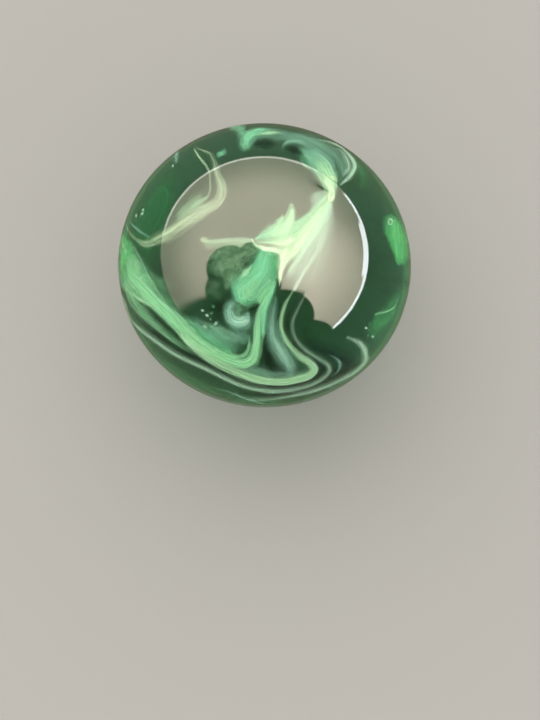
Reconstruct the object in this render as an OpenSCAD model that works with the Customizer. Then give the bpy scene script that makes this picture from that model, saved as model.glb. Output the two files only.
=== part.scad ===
// Glass marble: one solid ball of clear green glass, pressed and rolled from a single gob.
// It is a little longer than it is wide, it keeps a shallow crease at each end of the gob,
// where the glass was cut off, and a few seed bubbles are trapped in it.
// The origin is the centre of the ball, +X lies along its long axis and +Z is up.

/* [Ball] */
// Diameter along the long axis, X
long_d = 16.3; // [14:0.1:25]
// Diameter across the long axis, along Y
cross_d = 15.8; // [13.6:0.1:24.3]
// Diameter from bottom to top, along Z
height_d = 15.8; // [13.6:0.1:24.3]

/* [Cut-off creases] */
// Depth of a crease below the ball's own surface
crease_depth = 0.05; // [0.02:0.01:0.1]
// Radius of the round valley that a crease has for its section
crease_r = 1.6; // [0.8:0.1:3]
// Direction of the near crease round the ball, in degrees from +X towards +Y
crease_around = 50; // [0:5:90]
// Height of the near crease above the equator, in degrees
crease_up = 57; // [40:1:75]
// Turn of the crease's line about its own middle, in degrees
crease_turn = 20; // [-90:5:90]

/* [Seed bubbles] */
// Diameter of the one large seed
seed_d = 0.34; // [0.2:0.02:0.6]
// Depth of the large seed's centre below the surface
seed_depth = 0.6; // [0.5:0.1:1.5]
// Diameter of the fine seeds, which lie in clusters
fine_seed_d = 0.18; // [0.1:0.02:0.3]
// Depth of the fine seeds' centres below the surface
fine_seed_depth = 0.45; // [0.4:0.05:1]
// Spacing of the fine seeds along a cluster
fine_seed_pitch = 0.38; // [0.35:0.01:0.6]

/* [Hidden] */
$fn = 96;

// The large seed's direction: degrees round from +X, and degrees up from the equator.
SEED_AT = [21, 26];

// Each cluster of fine seeds: degrees round, degrees up, turn of its line, number of seeds.
CLUSTERS = [
    [-31, 25, -35, 4],
    [-118, 49, 15, 5],
    [168, 18, 60, 3]
];

// Distance from the centre to the surface in a direction given by its two angles.
function surface_r(around, up) =
    1 / norm([
        2 * cos(up) * cos(around) / long_d,
        2 * cos(up) * sin(around) / cross_d,
        2 * sin(up) / height_d
    ]);

// Puts its children at a depth under the surface, with their own +Z pointing outwards.
module under_surface(around, up, depth) {
    rotate([0, 90 - up, around])
        translate([0, 0, surface_r(around, up) - depth])
            children();
}

// The ball itself, with its three diameters.
module ball() {
    scale([long_d / 2, cross_d / 2, height_d / 2])
        sphere(r = 1);
}

// The round bar that presses one crease into the ball.
module crease(around, up, turn) {
    under_surface(around, up, crease_depth)
        rotate([0, 0, turn])
            translate([0, 0, crease_r])
                rotate([90, 0, 0])
                    cylinder(r = crease_r, h = cross_d, center = true);
}

// One row of fine seeds under the surface, smaller towards its far end.
module seed_cluster(around, up, turn, count) {
    under_surface(around, up, fine_seed_depth)
        rotate([0, 0, turn])
            for (i = [0 : count - 1])
                translate([(i - (count - 1) / 2) * fine_seed_pitch, 0, 0])
                    sphere(d = fine_seed_d * (1 - 0.1 * i));
}

// Every bubble in the glass.
module seeds() {
    under_surface(SEED_AT[0], SEED_AT[1], seed_depth)
        sphere(d = seed_d);
    for (c = CLUSTERS)
        seed_cluster(c[0], c[1], c[2], c[3]);
}

// The whole marble: the ball less its two opposite creases and its bubbles.
module marble() {
    color("seagreen", 0.6)
        difference() {
            ball();
            crease(crease_around, crease_up, crease_turn);
            crease(crease_around + 180, -crease_up, crease_turn);
            seeds();
        }
}

marble();
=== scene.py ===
"""Looks of a glass marble: clear green glass with milky swirls and seed bubbles, in a plain studio."""

import logging
import math
from dataclasses import dataclass, field
from enum import Enum

import bmesh
import bpy
import numpy as np
from mathutils import Matrix, Vector


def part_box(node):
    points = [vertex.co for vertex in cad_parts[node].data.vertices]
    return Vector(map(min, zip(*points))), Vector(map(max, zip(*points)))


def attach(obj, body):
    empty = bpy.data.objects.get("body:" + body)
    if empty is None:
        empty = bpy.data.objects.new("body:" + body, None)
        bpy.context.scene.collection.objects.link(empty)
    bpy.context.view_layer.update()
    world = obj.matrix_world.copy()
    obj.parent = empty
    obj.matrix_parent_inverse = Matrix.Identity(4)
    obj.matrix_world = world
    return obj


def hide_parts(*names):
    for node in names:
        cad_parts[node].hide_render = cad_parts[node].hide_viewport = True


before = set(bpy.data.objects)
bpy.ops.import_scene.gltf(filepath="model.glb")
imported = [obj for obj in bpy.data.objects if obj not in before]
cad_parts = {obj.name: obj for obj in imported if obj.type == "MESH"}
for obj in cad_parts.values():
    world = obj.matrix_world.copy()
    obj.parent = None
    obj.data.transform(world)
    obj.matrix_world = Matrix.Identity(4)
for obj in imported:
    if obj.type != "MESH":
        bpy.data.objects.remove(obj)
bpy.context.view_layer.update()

LOG = logging.getLogger("marble")
MM = 0.001
NODE = "marble"
BODY = "root"
GLASS_IOR = 1.52

Stops = tuple[tuple[float, float], ...]
Rgb = tuple[float, float, float]
Socket = bpy.types.NodeSocket
Material = bpy.types.Material
Number = Socket | float
Colour = Socket | Rgb
Fed = Socket | float | tuple[float, ...]


# ---------------------------------------------------------------- the ball and the eye


@dataclass(frozen=True)
class Eye:
    """The main view: a camera that looks steeply down on the ball.

    Attributes:
        up_deg: Height of the camera above the horizon.
        turn_deg: Turn of the camera about +Z.
        far: Distance from the ball's centre, in metres.
        lens: Focal length in mm on a 36 mm sensor.
        aim: How far the ball's centre stands right of and above the middle of the picture, as
            shares of the picture's long side.
    """

    up_deg: float = 78.0
    turn_deg: float = 7.0
    far: float = 0.120
    lens: float = 107.5
    aim: tuple[float, float] = (-0.0075, 0.131)

    @property
    def level(self) -> Vector:
        """The level direction away from the camera."""
        turn = math.radians(self.turn_deg)
        return Vector((-math.sin(turn), math.cos(turn), 0.0))

    @property
    def right(self) -> Vector:
        """The picture's right."""
        turn = math.radians(self.turn_deg)
        return Vector((math.cos(turn), math.sin(turn), 0.0))

    @property
    def pole(self) -> Vector:
        """From the ball's centre to the camera."""
        up = math.radians(self.up_deg)
        return Vector((0, 0, math.sin(up))) - self.level * math.cos(up)

    @property
    def away(self) -> Vector:
        """The picture's up."""
        up = math.radians(self.up_deg)
        return Vector((0, 0, math.cos(up))) + self.level * math.sin(up)


# A bent ray is followed as if it ran in at least this steeply, and a line gets so many steps to a stop.
LEAST_COSINE = 0.35
SPLINE_STEPS = 24


@dataclass(frozen=True)
class Ball:
    """The ball's own form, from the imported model's box: an ellipsoid a little out of round.

    Attributes:
        centre: Its middle, in the row frame.
        half: Its three half diameters, in metres.
    """

    centre: Vector
    half: np.ndarray

    @staticmethod
    def from_frame() -> "Ball":
        """Reads the ball's centre and its three half diameters from the frame."""
        low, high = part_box(NODE)
        return Ball((low + high) / 2, np.array((high - low) / 2))

    def reach(self, ways: np.ndarray) -> np.ndarray:
        """Distance from the centre to the surface along each unit direction."""
        return 1.0 / np.linalg.norm(ways / self.half, axis=-1)

    def under(self, ways: np.ndarray, depths: np.ndarray) -> np.ndarray:
        """Points some metres below the surface, each along a direction from the centre."""
        unit = ways / np.linalg.norm(ways, axis=-1, keepdims=True)
        return np.array(self.centre) + unit * (self.reach(unit) - depths)[..., None]

    def seen(self, eye: Eye, stop: tuple[float, float], depth: float, far: bool) -> np.ndarray:
        """The direction of a point that the eye sees at a stop, bent by the glass on its way.

        Args:
            eye: The main view.
            stop: Place right of and above the ball's middle as the eye sees it, in mm.
            depth: How far below the surface the point lies, in metres.
            far: Whether the point is on the half that the eye can't see from outside.

        Returns:
            The point's direction from the centre, in metres times its distance.
        """
        right, away, pole = (np.array(v) for v in (eye.right, eye.away, eye.pole))
        radius = self.half.mean()
        flat = (right * stop[0] + away * stop[1]) * MM
        if far:
            lost = max(0.0, 1.0 - float(flat @ flat) / float(radius**2))
            return flat - pole * radius * math.sqrt(lost)
        limb = math.sqrt(eye.far**2 - radius**2)
        start = pole * eye.far
        ray = -pole + flat / limb
        ray /= np.linalg.norm(ray)
        a = float(((ray / self.half) ** 2).sum())
        b = float((start * ray / self.half**2).sum())
        c = float(((start / self.half) ** 2).sum()) - 1.0
        reach = (-b - math.sqrt(max(0.0, b * b - a * c))) / a
        hit = start + ray * reach
        normal = hit / self.half**2
        normal /= np.linalg.norm(normal)
        cosine = -float(ray @ normal)
        inward = math.sqrt(1.0 - (1.0 - cosine**2) / GLASS_IOR**2)
        bent = ray / GLASS_IOR + normal * (cosine / GLASS_IOR - inward)
        return hit + bent * depth / max(LEAST_COSINE, -float(bent @ normal))


def spline(stops: np.ndarray, count: int) -> np.ndarray:
    """A smooth line through stops, by Catmull and Rom's rule.

    Args:
        stops: The stops, one row each.
        count: How many points to put out, evenly spaced along the line.

    Returns:
        The points, one row each.
    """
    if len(stops) == 1:
        return np.repeat(stops, count, axis=0)
    ends = np.vstack([2 * stops[0] - stops[1], stops, 2 * stops[-1] - stops[-2]])
    t = np.linspace(0, 1, SPLINE_STEPS, endpoint=False)[:, None]
    fine = []
    for p0, p1, p2, p3 in zip(ends, ends[1:], ends[2:], ends[3:], strict=False):
        bend = (2 * p0 - 5 * p1 + 4 * p2 - p3) * t**2
        twist = (3 * p1 - p0 - 3 * p2 + p3) * t**3
        fine.append(0.5 * (2 * p1 + (p2 - p0) * t + bend + twist))
    line = np.vstack([*fine, ends[-2:-1]])
    run = np.concatenate([[0], np.cumsum(np.linalg.norm(np.diff(line, axis=0), axis=1))])
    even = np.linspace(0, run[-1], count)
    return np.stack([np.interp(even, run, line[:, k]) for k in range(line.shape[1])], axis=1)


def profile(values: tuple[float, ...], share: np.ndarray) -> np.ndarray:
    """A smooth course through evenly spaced values.

    Args:
        values: The values, from the start of the way to its end.
        share: Shares of the way, from 0 to 1.

    Returns:
        The course's value at each share.
    """
    if len(values) == 1:
        return np.full_like(share, values[0])
    at = share * (len(values) - 1)
    low = np.minimum(at.astype(int), len(values) - 2)
    t = at - low
    ease = t * t * (3 - 2 * t)
    known = np.array(values)
    return known[low] * (1 - ease) + known[low + 1] * ease


def new_object(name: str, points: np.ndarray, faces: np.ndarray) -> bpy.types.Object:
    """Makes a smooth-shaded mesh object in the row frame.

    Args:
        name: The piece's name.
        points: Its corners, in metres.
        faces: Corner numbers, three or four to a face.

    Returns:
        The new object, linked to the scene.
    """
    mesh = bpy.data.meshes.new(name)
    mesh.from_pydata(points.tolist(), [], faces.tolist())
    mesh.polygons.foreach_set("use_smooth", [True] * len(mesh.polygons))
    mesh.update()
    made = bpy.data.objects.new(name, mesh)
    bpy.context.scene.collection.objects.link(made)
    return made


# ---------------------------------------------------------------- finishes


@dataclass(frozen=True)
class Graph:
    """A node tree with short ways to add and join its nodes."""

    tree: bpy.types.NodeTree

    def add(self, kind: str, **fed: Fed) -> bpy.types.Node:
        """Adds a node and feeds its inputs.

        Args:
            kind: The node's type, without its prefix of ShaderNode.
            fed: A value or a socket for each named input, with spaces as underscores.

        Returns:
            The new node.
        """
        node = self.tree.nodes.new(f"ShaderNode{kind}")
        self.fill(node, **fed)
        return node

    def fill(self, node: bpy.types.Node, **fed: Fed) -> None:
        """Feeds the named inputs of a node, with spaces as underscores."""
        for name, value in fed.items():
            self.feed(value, node.inputs[name.replace("_", " ")])

    def feed(self, value: Fed, slot: Socket) -> None:
        """Links a socket to an input, or sets the input's own value.

        Args:
            value: A socket, a number, or the parts of a colour or a direction.
            slot: The input.
        """
        if isinstance(value, Socket):
            self.tree.links.new(value, slot)
        else:
            slot.default_value = value

    def maths(self, kind: str, *fed: Number) -> Socket:
        """Adds a maths node.

        Args:
            kind: What it works out.
            fed: The sockets and numbers that it works with, in order.

        Returns:
            Its result.
        """
        node = self.tree.nodes.new("ShaderNodeMath")
        node.operation = kind
        for slot, value in zip(node.inputs, fed, strict=False):
            self.feed(value, slot)
        return node.outputs[0]

    def step(self, value: Number, low: Number, high: Number) -> Socket:
        """Adds a smooth step.

        Args:
            value: What is measured.
            low: Where the step starts, at 0.
            high: Where it ends, at 1.

        Returns:
            The step's height at the value.
        """
        node = self.add("MapRange", Value=value, From_Min=low, From_Max=high)
        node.interpolation_type = "SMOOTHSTEP"
        return node.outputs[0]

    def times(self, first: Number, second: Number) -> Socket:
        """One value times another."""
        return self.maths("MULTIPLY", first, second)

    def plus(self, value: Number, factor: Number, base: Number) -> Socket:
        """A value times a factor, added to a base."""
        return self.maths("MULTIPLY_ADD", value, factor, base)

    def blend(self, share: Number, first: Colour, second: Colour) -> Socket:
        """Mixes two colours.

        Args:
            share: How much of the second there is, from 0 to 1.
            first: The colour at 0.
            second: The colour at 1.

        Returns:
            The colour between them.
        """
        node = self.tree.nodes.new("ShaderNodeMix")
        node.data_type = "RGBA"
        for slot, value in ((0, share), (6, first), (7, second)):
            self.feed((*value, 1.0) if isinstance(value, tuple) else value, node.inputs[slot])
        return node.outputs[2]

    def dot(self, first: Socket, second: Vector) -> Socket:
        """Measures how far one direction runs along another.

        Args:
            first: The direction that changes.
            second: The direction that stays.

        Returns:
            Their dot product.
        """
        node = self.tree.nodes.new("ShaderNodeVectorMath")
        node.operation = "DOT_PRODUCT"
        self.feed(first, node.inputs[0])
        self.feed(tuple(second), node.inputs[1])
        return node.outputs["Value"]

    def join(self, share: Number, first: Socket, second: Socket) -> Socket:
        """Mixes two shaders.

        Args:
            share: How much of the second there is, from 0 to 1.
            first: The shader at 0.
            second: The shader at 1.

        Returns:
            The shader between them.
        """
        node = self.add("MixShader", Fac=share)
        self.feed(first, node.inputs[1])
        self.feed(second, node.inputs[2])
        return node.outputs[0]


def new_material(name: str) -> tuple[Material, Graph, bpy.types.Node]:
    """Makes a material.

    Args:
        name: Its name.

    Returns:
        The material, its nodes and its shader.
    """
    made = bpy.data.materials.new(name)
    made.use_nodes = True
    return made, Graph(made.node_tree), made.node_tree.nodes["Principled BSDF"]


class Tone(Enum):
    """Which milky glass a ribbon is made of, or the near-black tone whose ribbons paint shade."""

    PALE = "pale"
    MINT = "mint"
    SMOKE = "smoke"
    LEAF = "leaf"
    THREAD = "thread"
    CREAM = "cream"
    # Not milky glass: a near-black tone whose ribbons paint shade into the glass.
    DEEP = "deep"
    MOSS = "moss"
    BAND = "band"
    CLOUD = "cloud"


def streak_group() -> bpy.types.NodeTree:
    """The drawn-out streaks that all milky glass shares, as a node group.

    Returns:
        A group that turns a place along and across a ribbon into a mask of fine streaks and a
        mask of broad ones.
    """
    wave_length, broad_along, broad_across = 0.7, 0.7, 0.3
    middle, half_step, softest = 0.5, 0.05, 0.3
    group = bpy.data.node_groups.new("drawn_streaks", "ShaderNodeTree")
    face = group.interface
    face.new_socket("Flow", in_out="INPUT", socket_type="NodeSocketVector")
    for name, value in (("Across", 5.0), ("Along", 0.35), ("Contrast", 0.6), ("Waver", 0.3)):
        face.new_socket(name, in_out="INPUT", socket_type="NodeSocketFloat").default_value = value
    face.new_socket("Fine", in_out="OUTPUT", socket_type="NodeSocketFloat")
    face.new_socket("Broad", in_out="OUTPUT", socket_type="NodeSocketFloat")
    graph = Graph(group)
    came, goes = group.nodes.new("NodeGroupInput"), group.nodes.new("NodeGroupOutput")
    parts = graph.add("SeparateXYZ", Vector=came.outputs["Flow"])

    def noise(along: Socket, across: Socket, detail: float) -> Socket:
        """Adds noise.

        Args:
            along: The place along the flow.
            across: The place across it.
            detail: How many finer layers the noise has.

        Returns:
            The noise at that place.
        """
        place = graph.add("CombineXYZ", X=along, Y=across)
        made = graph.add("TexNoise", Vector=place.outputs[0], Scale=1.0, Detail=detail, Roughness=0.6)
        return made.outputs["Fac"]

    along = graph.times(parts.outputs[0], came.outputs["Along"])
    wave = noise(graph.times(parts.outputs[0], wave_length), parts.outputs[1], 1.0)
    place = graph.maths("ADD", parts.outputs[1], graph.times(wave, came.outputs["Waver"]))
    across = graph.times(place, came.outputs["Across"])
    broad = noise(graph.times(along, broad_along), graph.times(across, broad_across), 1.0)
    fine = noise(along, across, 3.0)
    spread = graph.times(graph.maths("SUBTRACT", 1.0, came.outputs["Contrast"]), softest)
    low = graph.maths("SUBTRACT", middle - half_step, spread)
    high = graph.maths("ADD", middle + half_step, spread)
    graph.feed(graph.step(fine, low, high), goes.inputs["Fine"])
    graph.feed(graph.step(broad, 0.35, 0.65), goes.inputs["Broad"])
    return group


@dataclass(frozen=True)
class MilkyGlass:
    """The finish of one tone of milky glass.

    Attributes:
        tone: Which tone it is.
        thin: Colour where the milk is thin.
        thick: Colour where it is thick.
        cover: How fully thick milk hides what is behind it.
        across: Streaks to a millimetre across the flow.
        along: Streaks to a millimetre along it.
        fibre: How much milk the gaps between streaks lack, from 0 to 1.
        fray: How far the edges and ends break up into streaks, from 0 to 1.
        contrast: How sharply the streaks stand out, from 0 to 1.
        waver: How far the streaks wander, in mm.
        rough: How dull the milk itself is.
        body: How far an unbroken stretch goes from thin to thick, as a share of its milk.
        relief: How much farther each kind of streak goes.
    """

    tone: Tone
    thin: Rgb
    thick: Rgb
    cover: float
    across: float = 6.0
    along: float = 0.3
    fibre: float = 0.8
    fray: float = 0.2
    contrast: float = 0.6
    waver: float = 0.3
    rough: float = 0.55
    body: float = 0.4
    relief: float = 0.3

    def build(self, streaks: bpy.types.NodeTree) -> Material:
        """Makes the material.

        Args:
            streaks: The shared group of drawn-out streaks.

        Returns:
            The new material.
        """
        made, graph, shader = new_material(f"milky_{self.tone.value}")
        graph.fill(shader, Roughness=self.rough, Specular_IOR_Level=0.0)
        flow, veil = graph.add("UVMap"), graph.add("Attribute")
        flow.uv_map, veil.attribute_name = "flow", "veil"
        group = made.node_tree.nodes.new("ShaderNodeGroup")
        group.node_tree = streaks
        graph.fill(group, Flow=flow.outputs[0], Across=self.across, Along=self.along)
        graph.fill(group, Contrast=self.contrast, Waver=self.waver)
        fine, broad = group.outputs["Fine"], group.outputs["Broad"]
        bare = graph.plus(fine, -self.fray, self.fray)
        over = graph.maths("MAXIMUM", graph.maths("SUBTRACT", veil.outputs["Fac"], bare), 0.0)
        milk = graph.times(over, graph.plus(fine, self.fibre, 1 - self.fibre))
        clear = graph.maths("EXPONENT", graph.times(milk, -self.cover))
        thickness = graph.times(graph.plus(graph.maths("ADD", broad, fine), self.relief, self.body), milk)
        colour = graph.blend(thickness, self.thin, self.thick)
        graph.fill(shader, Alpha=graph.maths("SUBTRACT", 1.0, clear), Base_Color=colour)
        return made


TONES = (
    MilkyGlass(Tone.PALE, (0.50, 0.87, 0.51), (0.93, 1.00, 0.77), 2.2, across=4.0, fibre=0.4, fray=0.12),
    MilkyGlass(Tone.CREAM, (0.75, 0.95, 0.60), (1.00, 1.00, 0.84), 2.4, across=4.0, fibre=0.35, fray=0.1),
    MilkyGlass(Tone.BAND, (0.34, 0.78, 0.42), (0.68, 0.98, 0.66), 2.2, across=3.5, fibre=0.45, fray=0.12),
    MilkyGlass(Tone.CLOUD, (0.34, 0.74, 0.42), (0.72, 0.96, 0.68), 1.7, across=1.2, along=1.0,
               fibre=0.38, fray=0.12, waver=0.5),
    MilkyGlass(Tone.MINT, (0.28, 0.76, 0.46), (0.54, 0.94, 0.66), 2.0, across=1.8, fibre=0.2, fray=0.06),
    MilkyGlass(Tone.SMOKE, (0.30, 0.60, 0.46), (0.72, 0.94, 0.82), 1.1, across=3.5, fibre=0.45, fray=0.06),
    MilkyGlass(Tone.LEAF, (0.12, 0.62, 0.20), (0.32, 0.84, 0.38), 1.6, across=2.0, fibre=0.4, fray=0.06),
    MilkyGlass(Tone.MOSS, (0.12, 0.24, 0.13), (0.50, 0.66, 0.44), 2.0, across=1.6, along=1.8,
               fibre=0.4, fray=0.12),
    MilkyGlass(Tone.THREAD, (0.62, 0.90, 0.68), (0.90, 1.00, 0.90), 2.0, across=4.0, fibre=0.25, fray=0.0),
    # Painted shade: near black, for the dark bands in and round the swirl.
    MilkyGlass(Tone.DEEP, (0.004, 0.022, 0.012), (0.002, 0.014, 0.008), 1.4, across=2.0,
               fibre=0.3, fray=0.06),
)


@dataclass(frozen=True)
class ClearGlass:
    """The marble's own glass: clear, with green that deepens with the way through it.

    Attributes:
        tint: Colour that the glass lets through.
        depth: How strongly it takes the other colours, per metre.
        smudged: Roughness of a smudge left by handling.
        dent: Depth of the scratches and pits, in mm.
        scuffed: Roughness that a scratch or a pit adds.
        smudges: Smudges to a metre.
        scratches: Scratches to a metre.
        breaks: Breaks in the scratches to a metre.
        pits: Pits to a metre.
    """

    tint: Rgb = (0.13, 0.57, 0.31)
    depth: float = 130.0
    smudged: float = 0.012
    dent: float = 0.0012
    scuffed: float = 0.18
    smudges: float = 260.0
    scratches: float = 420.0
    breaks: float = 1100.0
    pits: float = 900.0

    def build(self) -> Material:
        """Makes the material.

        Returns:
            The clear green glass.
        """
        made, graph, shader = new_material("green_glass")
        graph.fill(shader, Base_Color=(1, 1, 1, 1), IOR=GLASS_IOR, Transmission_Weight=1.0)
        rough, dents = self.marks(graph)
        bump = graph.add("Bump", Strength=1.0, Distance=self.dent * MM, Height=dents)
        graph.fill(shader, Roughness=rough, Normal=bump.outputs["Normal"])
        inside = graph.add("VolumeAbsorption", Color=(*self.tint, 1), Density=self.depth)
        graph.feed(inside.outputs[0], made.node_tree.nodes["Material Output"].inputs["Volume"])
        return made

    def marks(self, graph: Graph) -> tuple[Socket, Socket]:
        """The marks of handling: faint smudges, and fine scratches and pits that play leaves.

        Args:
            graph: The material's nodes.

        Returns:
            The roughness and the height of the surface.
        """
        place = graph.add("TexCoord").outputs["Object"]
        smudge = graph.add("TexNoise", Vector=place, Scale=self.smudges, Detail=3.0).outputs["Fac"]
        smudge = graph.step(smudge, 0.5, 0.72)
        line = graph.add("TexNoise", Vector=place, Scale=self.scratches, Detail=1.0, Distortion=0.6)
        off = graph.maths("ABSOLUTE", graph.maths("SUBTRACT", line.outputs["Fac"], 0.5))
        gaps = graph.add("TexNoise", Vector=place, Scale=self.breaks, Detail=0.0).outputs["Fac"]
        scratch = graph.times(graph.step(off, 0.0022, 0.0008), graph.step(gaps, 0.52, 0.6))
        scratch = graph.times(scratch, smudge)
        cells = graph.add("TexVoronoi", Vector=place, Scale=self.pits)
        chosen = graph.add("SeparateColor", Color=cells.outputs["Color"]).outputs[0]
        pit = graph.times(graph.step(cells.outputs["Distance"], 0.06, 0.03), graph.step(chosen, 0.86, 0.88))
        flaws = graph.maths("MAXIMUM", scratch, pit)
        rough = graph.plus(smudge, self.smudged, graph.times(flaws, self.scuffed))
        return rough, graph.maths("SUBTRACT", 1.0, flaws)


# ---------------------------------------------------------------- the glass body


@dataclass(frozen=True)
class Crease:
    """A shallow valley, left where the gob was cut off.

    Attributes:
        around_deg: Its direction round the ball, from +X towards +Y.
        up_deg: Its height above the equator.
        turn_deg: The turn of its line about its own middle.
        depth: How deep it is, in mm.
        radius: The radius of its section, in mm.
        soft: How far its melted edges are rounded off, in mm.
    """

    around_deg: float
    up_deg: float
    turn_deg: float = 20.0
    depth: float = 0.05
    radius: float = 1.6
    soft: float = 0.007

    def sink(self, points: np.ndarray, ball: Ball) -> np.ndarray:
        """How far each point of the surface is pressed in.

        Args:
            points: Points on the ball's surface, from its centre.
            ball: The ball's form.

        Returns:
            The depths, in metres.
        """
        along, across, out = (np.array(v) for v in turned_axes(self.around_deg, self.up_deg, self.turn_deg))
        flat = points / MM
        curve = 1 / (2 * ball.half.mean() / MM)
        u, v = flat @ along, flat @ across
        cut = self.depth - u**2 * (curve + 1 / (2 * self.radius)) - v**2 * curve
        eased = self.soft * np.logaddexp(0.0, cut / self.soft)
        return np.where(flat @ out > 0, eased, 0.0) * MM


@dataclass(frozen=True)
class Seeds:
    """A row of bubbles under the surface.

    Attributes:
        around_deg: The row's direction round the ball.
        up_deg: Its height above the equator.
        turn_deg: The turn of the row about its own middle.
        count: How many bubbles it has.
        across: The first bubble's diameter, in mm.
        depth: How far under the surface their centres lie, in mm.
        pitch: Their spacing, in mm.
        shrink: How much smaller each one is than the one before, as a share of the first.
    """

    around_deg: float
    up_deg: float
    turn_deg: float = 0.0
    count: int = 1
    across: float = 0.18
    depth: float = 0.45
    pitch: float = 0.38
    shrink: float = 0.1

    def places(self, ball: Ball) -> list[tuple[np.ndarray, float]]:
        """Places the bubbles.

        Args:
            ball: The ball that they lie in.

        Returns:
            The centre and the radius of each, in metres.
        """
        along, _, out = (np.array(v) for v in turned_axes(self.around_deg, self.up_deg, self.turn_deg))
        middle = ball.under(out[None, :], np.array([self.depth * MM]))[0]
        steps = (np.arange(self.count) - (self.count - 1) / 2) * self.pitch * MM
        radii = self.across / 2 * MM * (1 - self.shrink * np.arange(self.count))
        return [(middle + along * step, float(radius)) for step, radius in zip(steps, radii, strict=True)]


def turned_axes(around_deg: float, up_deg: float, turn_deg: float) -> tuple[Vector, Vector, Vector]:
    """Two directions along the ball's surface at a place on it, and the direction outwards.

    Args:
        around_deg: The place's direction round the ball, from +X towards +Y.
        up_deg: Its height above the equator.
        turn_deg: The turn of the first two directions about the outward one.

    Returns:
        The first direction, which points down the ball before the turn, the second and the outward one.
    """
    around, lean = math.radians(around_deg), math.radians(90 - up_deg)
    turn = Matrix.Rotation(around, 3, "Z") @ Matrix.Rotation(lean, 3, "Y")
    turn = turn @ Matrix.Rotation(math.radians(turn_deg), 3, "Z")
    return turn.col[0].copy(), turn.col[1].copy(), turn.col[2].copy()


RIPPLE_SEED = 16
BODY_SPLITS, BIG_SEED_SPLITS, SEED_SPLITS = 7, 4, 3


@dataclass
class GlassBody:
    """The ball of clear glass, with the creases at its ends and the seed bubbles in it.

    Attributes:
        ball: The ball's form.
        creases: The two places where the gob was cut off.
        seeds: The bubbles.
        ripple: How far the rolled surface rises and falls, in mm.
        waves: How many slow waves make up the ripple.
        wave_lengths: Their shortest and longest length, in mm.
        fullest: How many waves together make the full ripple.
    """

    ball: Ball
    creases: tuple[Crease, ...] = (Crease(50, 57), Crease(230, -57))
    seeds: tuple[Seeds, ...] = (
        Seeds(21, 26, across=0.34, depth=0.6),
        Seeds(-31, 25, -35, 4),
        Seeds(-118, 49, 15, 5),
        Seeds(168, 18, 60, 3),
    )
    ripple: float = 0.004
    waves: int = 14
    wave_lengths: tuple[float, float] = (2.2, 5.0)
    fullest: float = 6.0

    def ripples(self, points: np.ndarray) -> np.ndarray:
        """The surface's unevenness, as a sum of slow waves.

        Args:
            points: Points on the surface.

        Returns:
            How far it dips at each of them, in metres.
        """
        chance = np.random.default_rng(RIPPLE_SEED)
        dips = np.zeros(len(points))
        for _ in range(self.waves):
            way = chance.normal(size=3)
            length = chance.uniform(*self.wave_lengths) * MM
            way *= 2 * math.pi / (length * np.linalg.norm(way))
            dips += np.sin(points @ way + chance.uniform(0, 2 * math.pi))
        return self.ripple * MM * (1 + np.clip(dips / self.fullest, -1, 1)) / 2

    def build(self, finish: Material) -> bpy.types.Object:
        """Builds the body and dresses it.

        Args:
            finish: The clear glass.

        Returns:
            The new piece.
        """
        ways, faces = round_shell(BODY_SPLITS)
        surface = ways * self.ball.reach(ways)[:, None]
        sunk = self.ripples(surface) + sum(crease.sink(surface, self.ball) for crease in self.creases)
        points, corners = [self.ball.under(ways, sunk)], [faces]
        for row in self.seeds:
            for middle, radius in row.places(self.ball):
                ways, faces = round_shell(BIG_SEED_SPLITS if row.count == 1 else SEED_SPLITS)
                corners.append(faces[:, ::-1] + sum(len(done) for done in points))
                points.append(middle + ways * radius)
        made = new_object("marble_glass", np.vstack(points), np.vstack(corners))
        made.data.materials.append(finish)
        return made


def round_shell(splits: int) -> tuple[np.ndarray, np.ndarray]:
    """A ball's surface of even triangles.

    Args:
        splits: How often each triangle of the first shape is split.

    Returns:
        The corners, one unit direction each, and the triangles' corner numbers.
    """
    shell = bmesh.new()
    bmesh.ops.create_icosphere(shell, subdivisions=splits, radius=1.0)
    ways = np.array([v.co for v in shell.verts])
    faces = np.array([[v.index for v in f.verts] for f in shell.faces])
    shell.free()
    return ways / np.linalg.norm(ways, axis=1, keepdims=True), faces


# ---------------------------------------------------------------- the swirl


@dataclass(frozen=True)
class Ribbon:
    """One ribbon of milky glass drawn through the clear glass, or a near-black or bright one that paints
    shade, a glow or a glint.

    Attributes:
        tone: Which milky glass it is.
        route: Where its middle runs, as the eye sees it, in mm from the ball's middle.
        widths: Its width along the route, in mm.
        depths: How far it lies below the surface along the route, in mm.
        veil: How much milk it holds along the route, from 0 to 1.
        ridge: Where across it the milk is thickest, from -1, its left edge, to 1, its right edge.
        threads: How many fine threads run in it.
        beyond: Where it runs on round the far half of the ball.
    """

    tone: Tone
    route: Stops
    widths: tuple[float, ...]
    depths: tuple[float, ...] = (0.35,)
    veil: tuple[float, ...] = (0.0, 1.0, 1.0, 0.0)
    ridge: float = 0.0
    threads: int = 0
    beyond: Stops = ()


@dataclass(frozen=True)
class Ply:
    """One of the thin layers that a ribbon is laid in, so that it thins out softly.

    Attributes:
        spread: Its width, as a share of the ribbon's.
        soft: How much of the soft edge it adds on each side.
        milk: Its share of the ribbon's milk.
        sink: How much deeper than the ribbon it lies, in mm.
        offset: Where across the flow its own streaks start, in mm.
    """

    spread: float
    soft: float
    milk: float
    sink: float
    offset: float


PLIES = (
    Ply(1.0, 1.0, 0.3, 0.10, 40.0),
    Ply(1.0, 0.2, 0.7, 0.0, 10.0),
    Ply(0.55, 0.0, 0.5, -0.05, 25.0),
)

# How ribbons are laid: lengths in mm, and shares of a ribbon's length or width.
SOFT_EDGE = 0.35
RIDGE_FALL = 1.3
LEAST_DEPTH = 0.08
STREAK_STEP = 37.0
STEEPEST = 0.3

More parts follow.
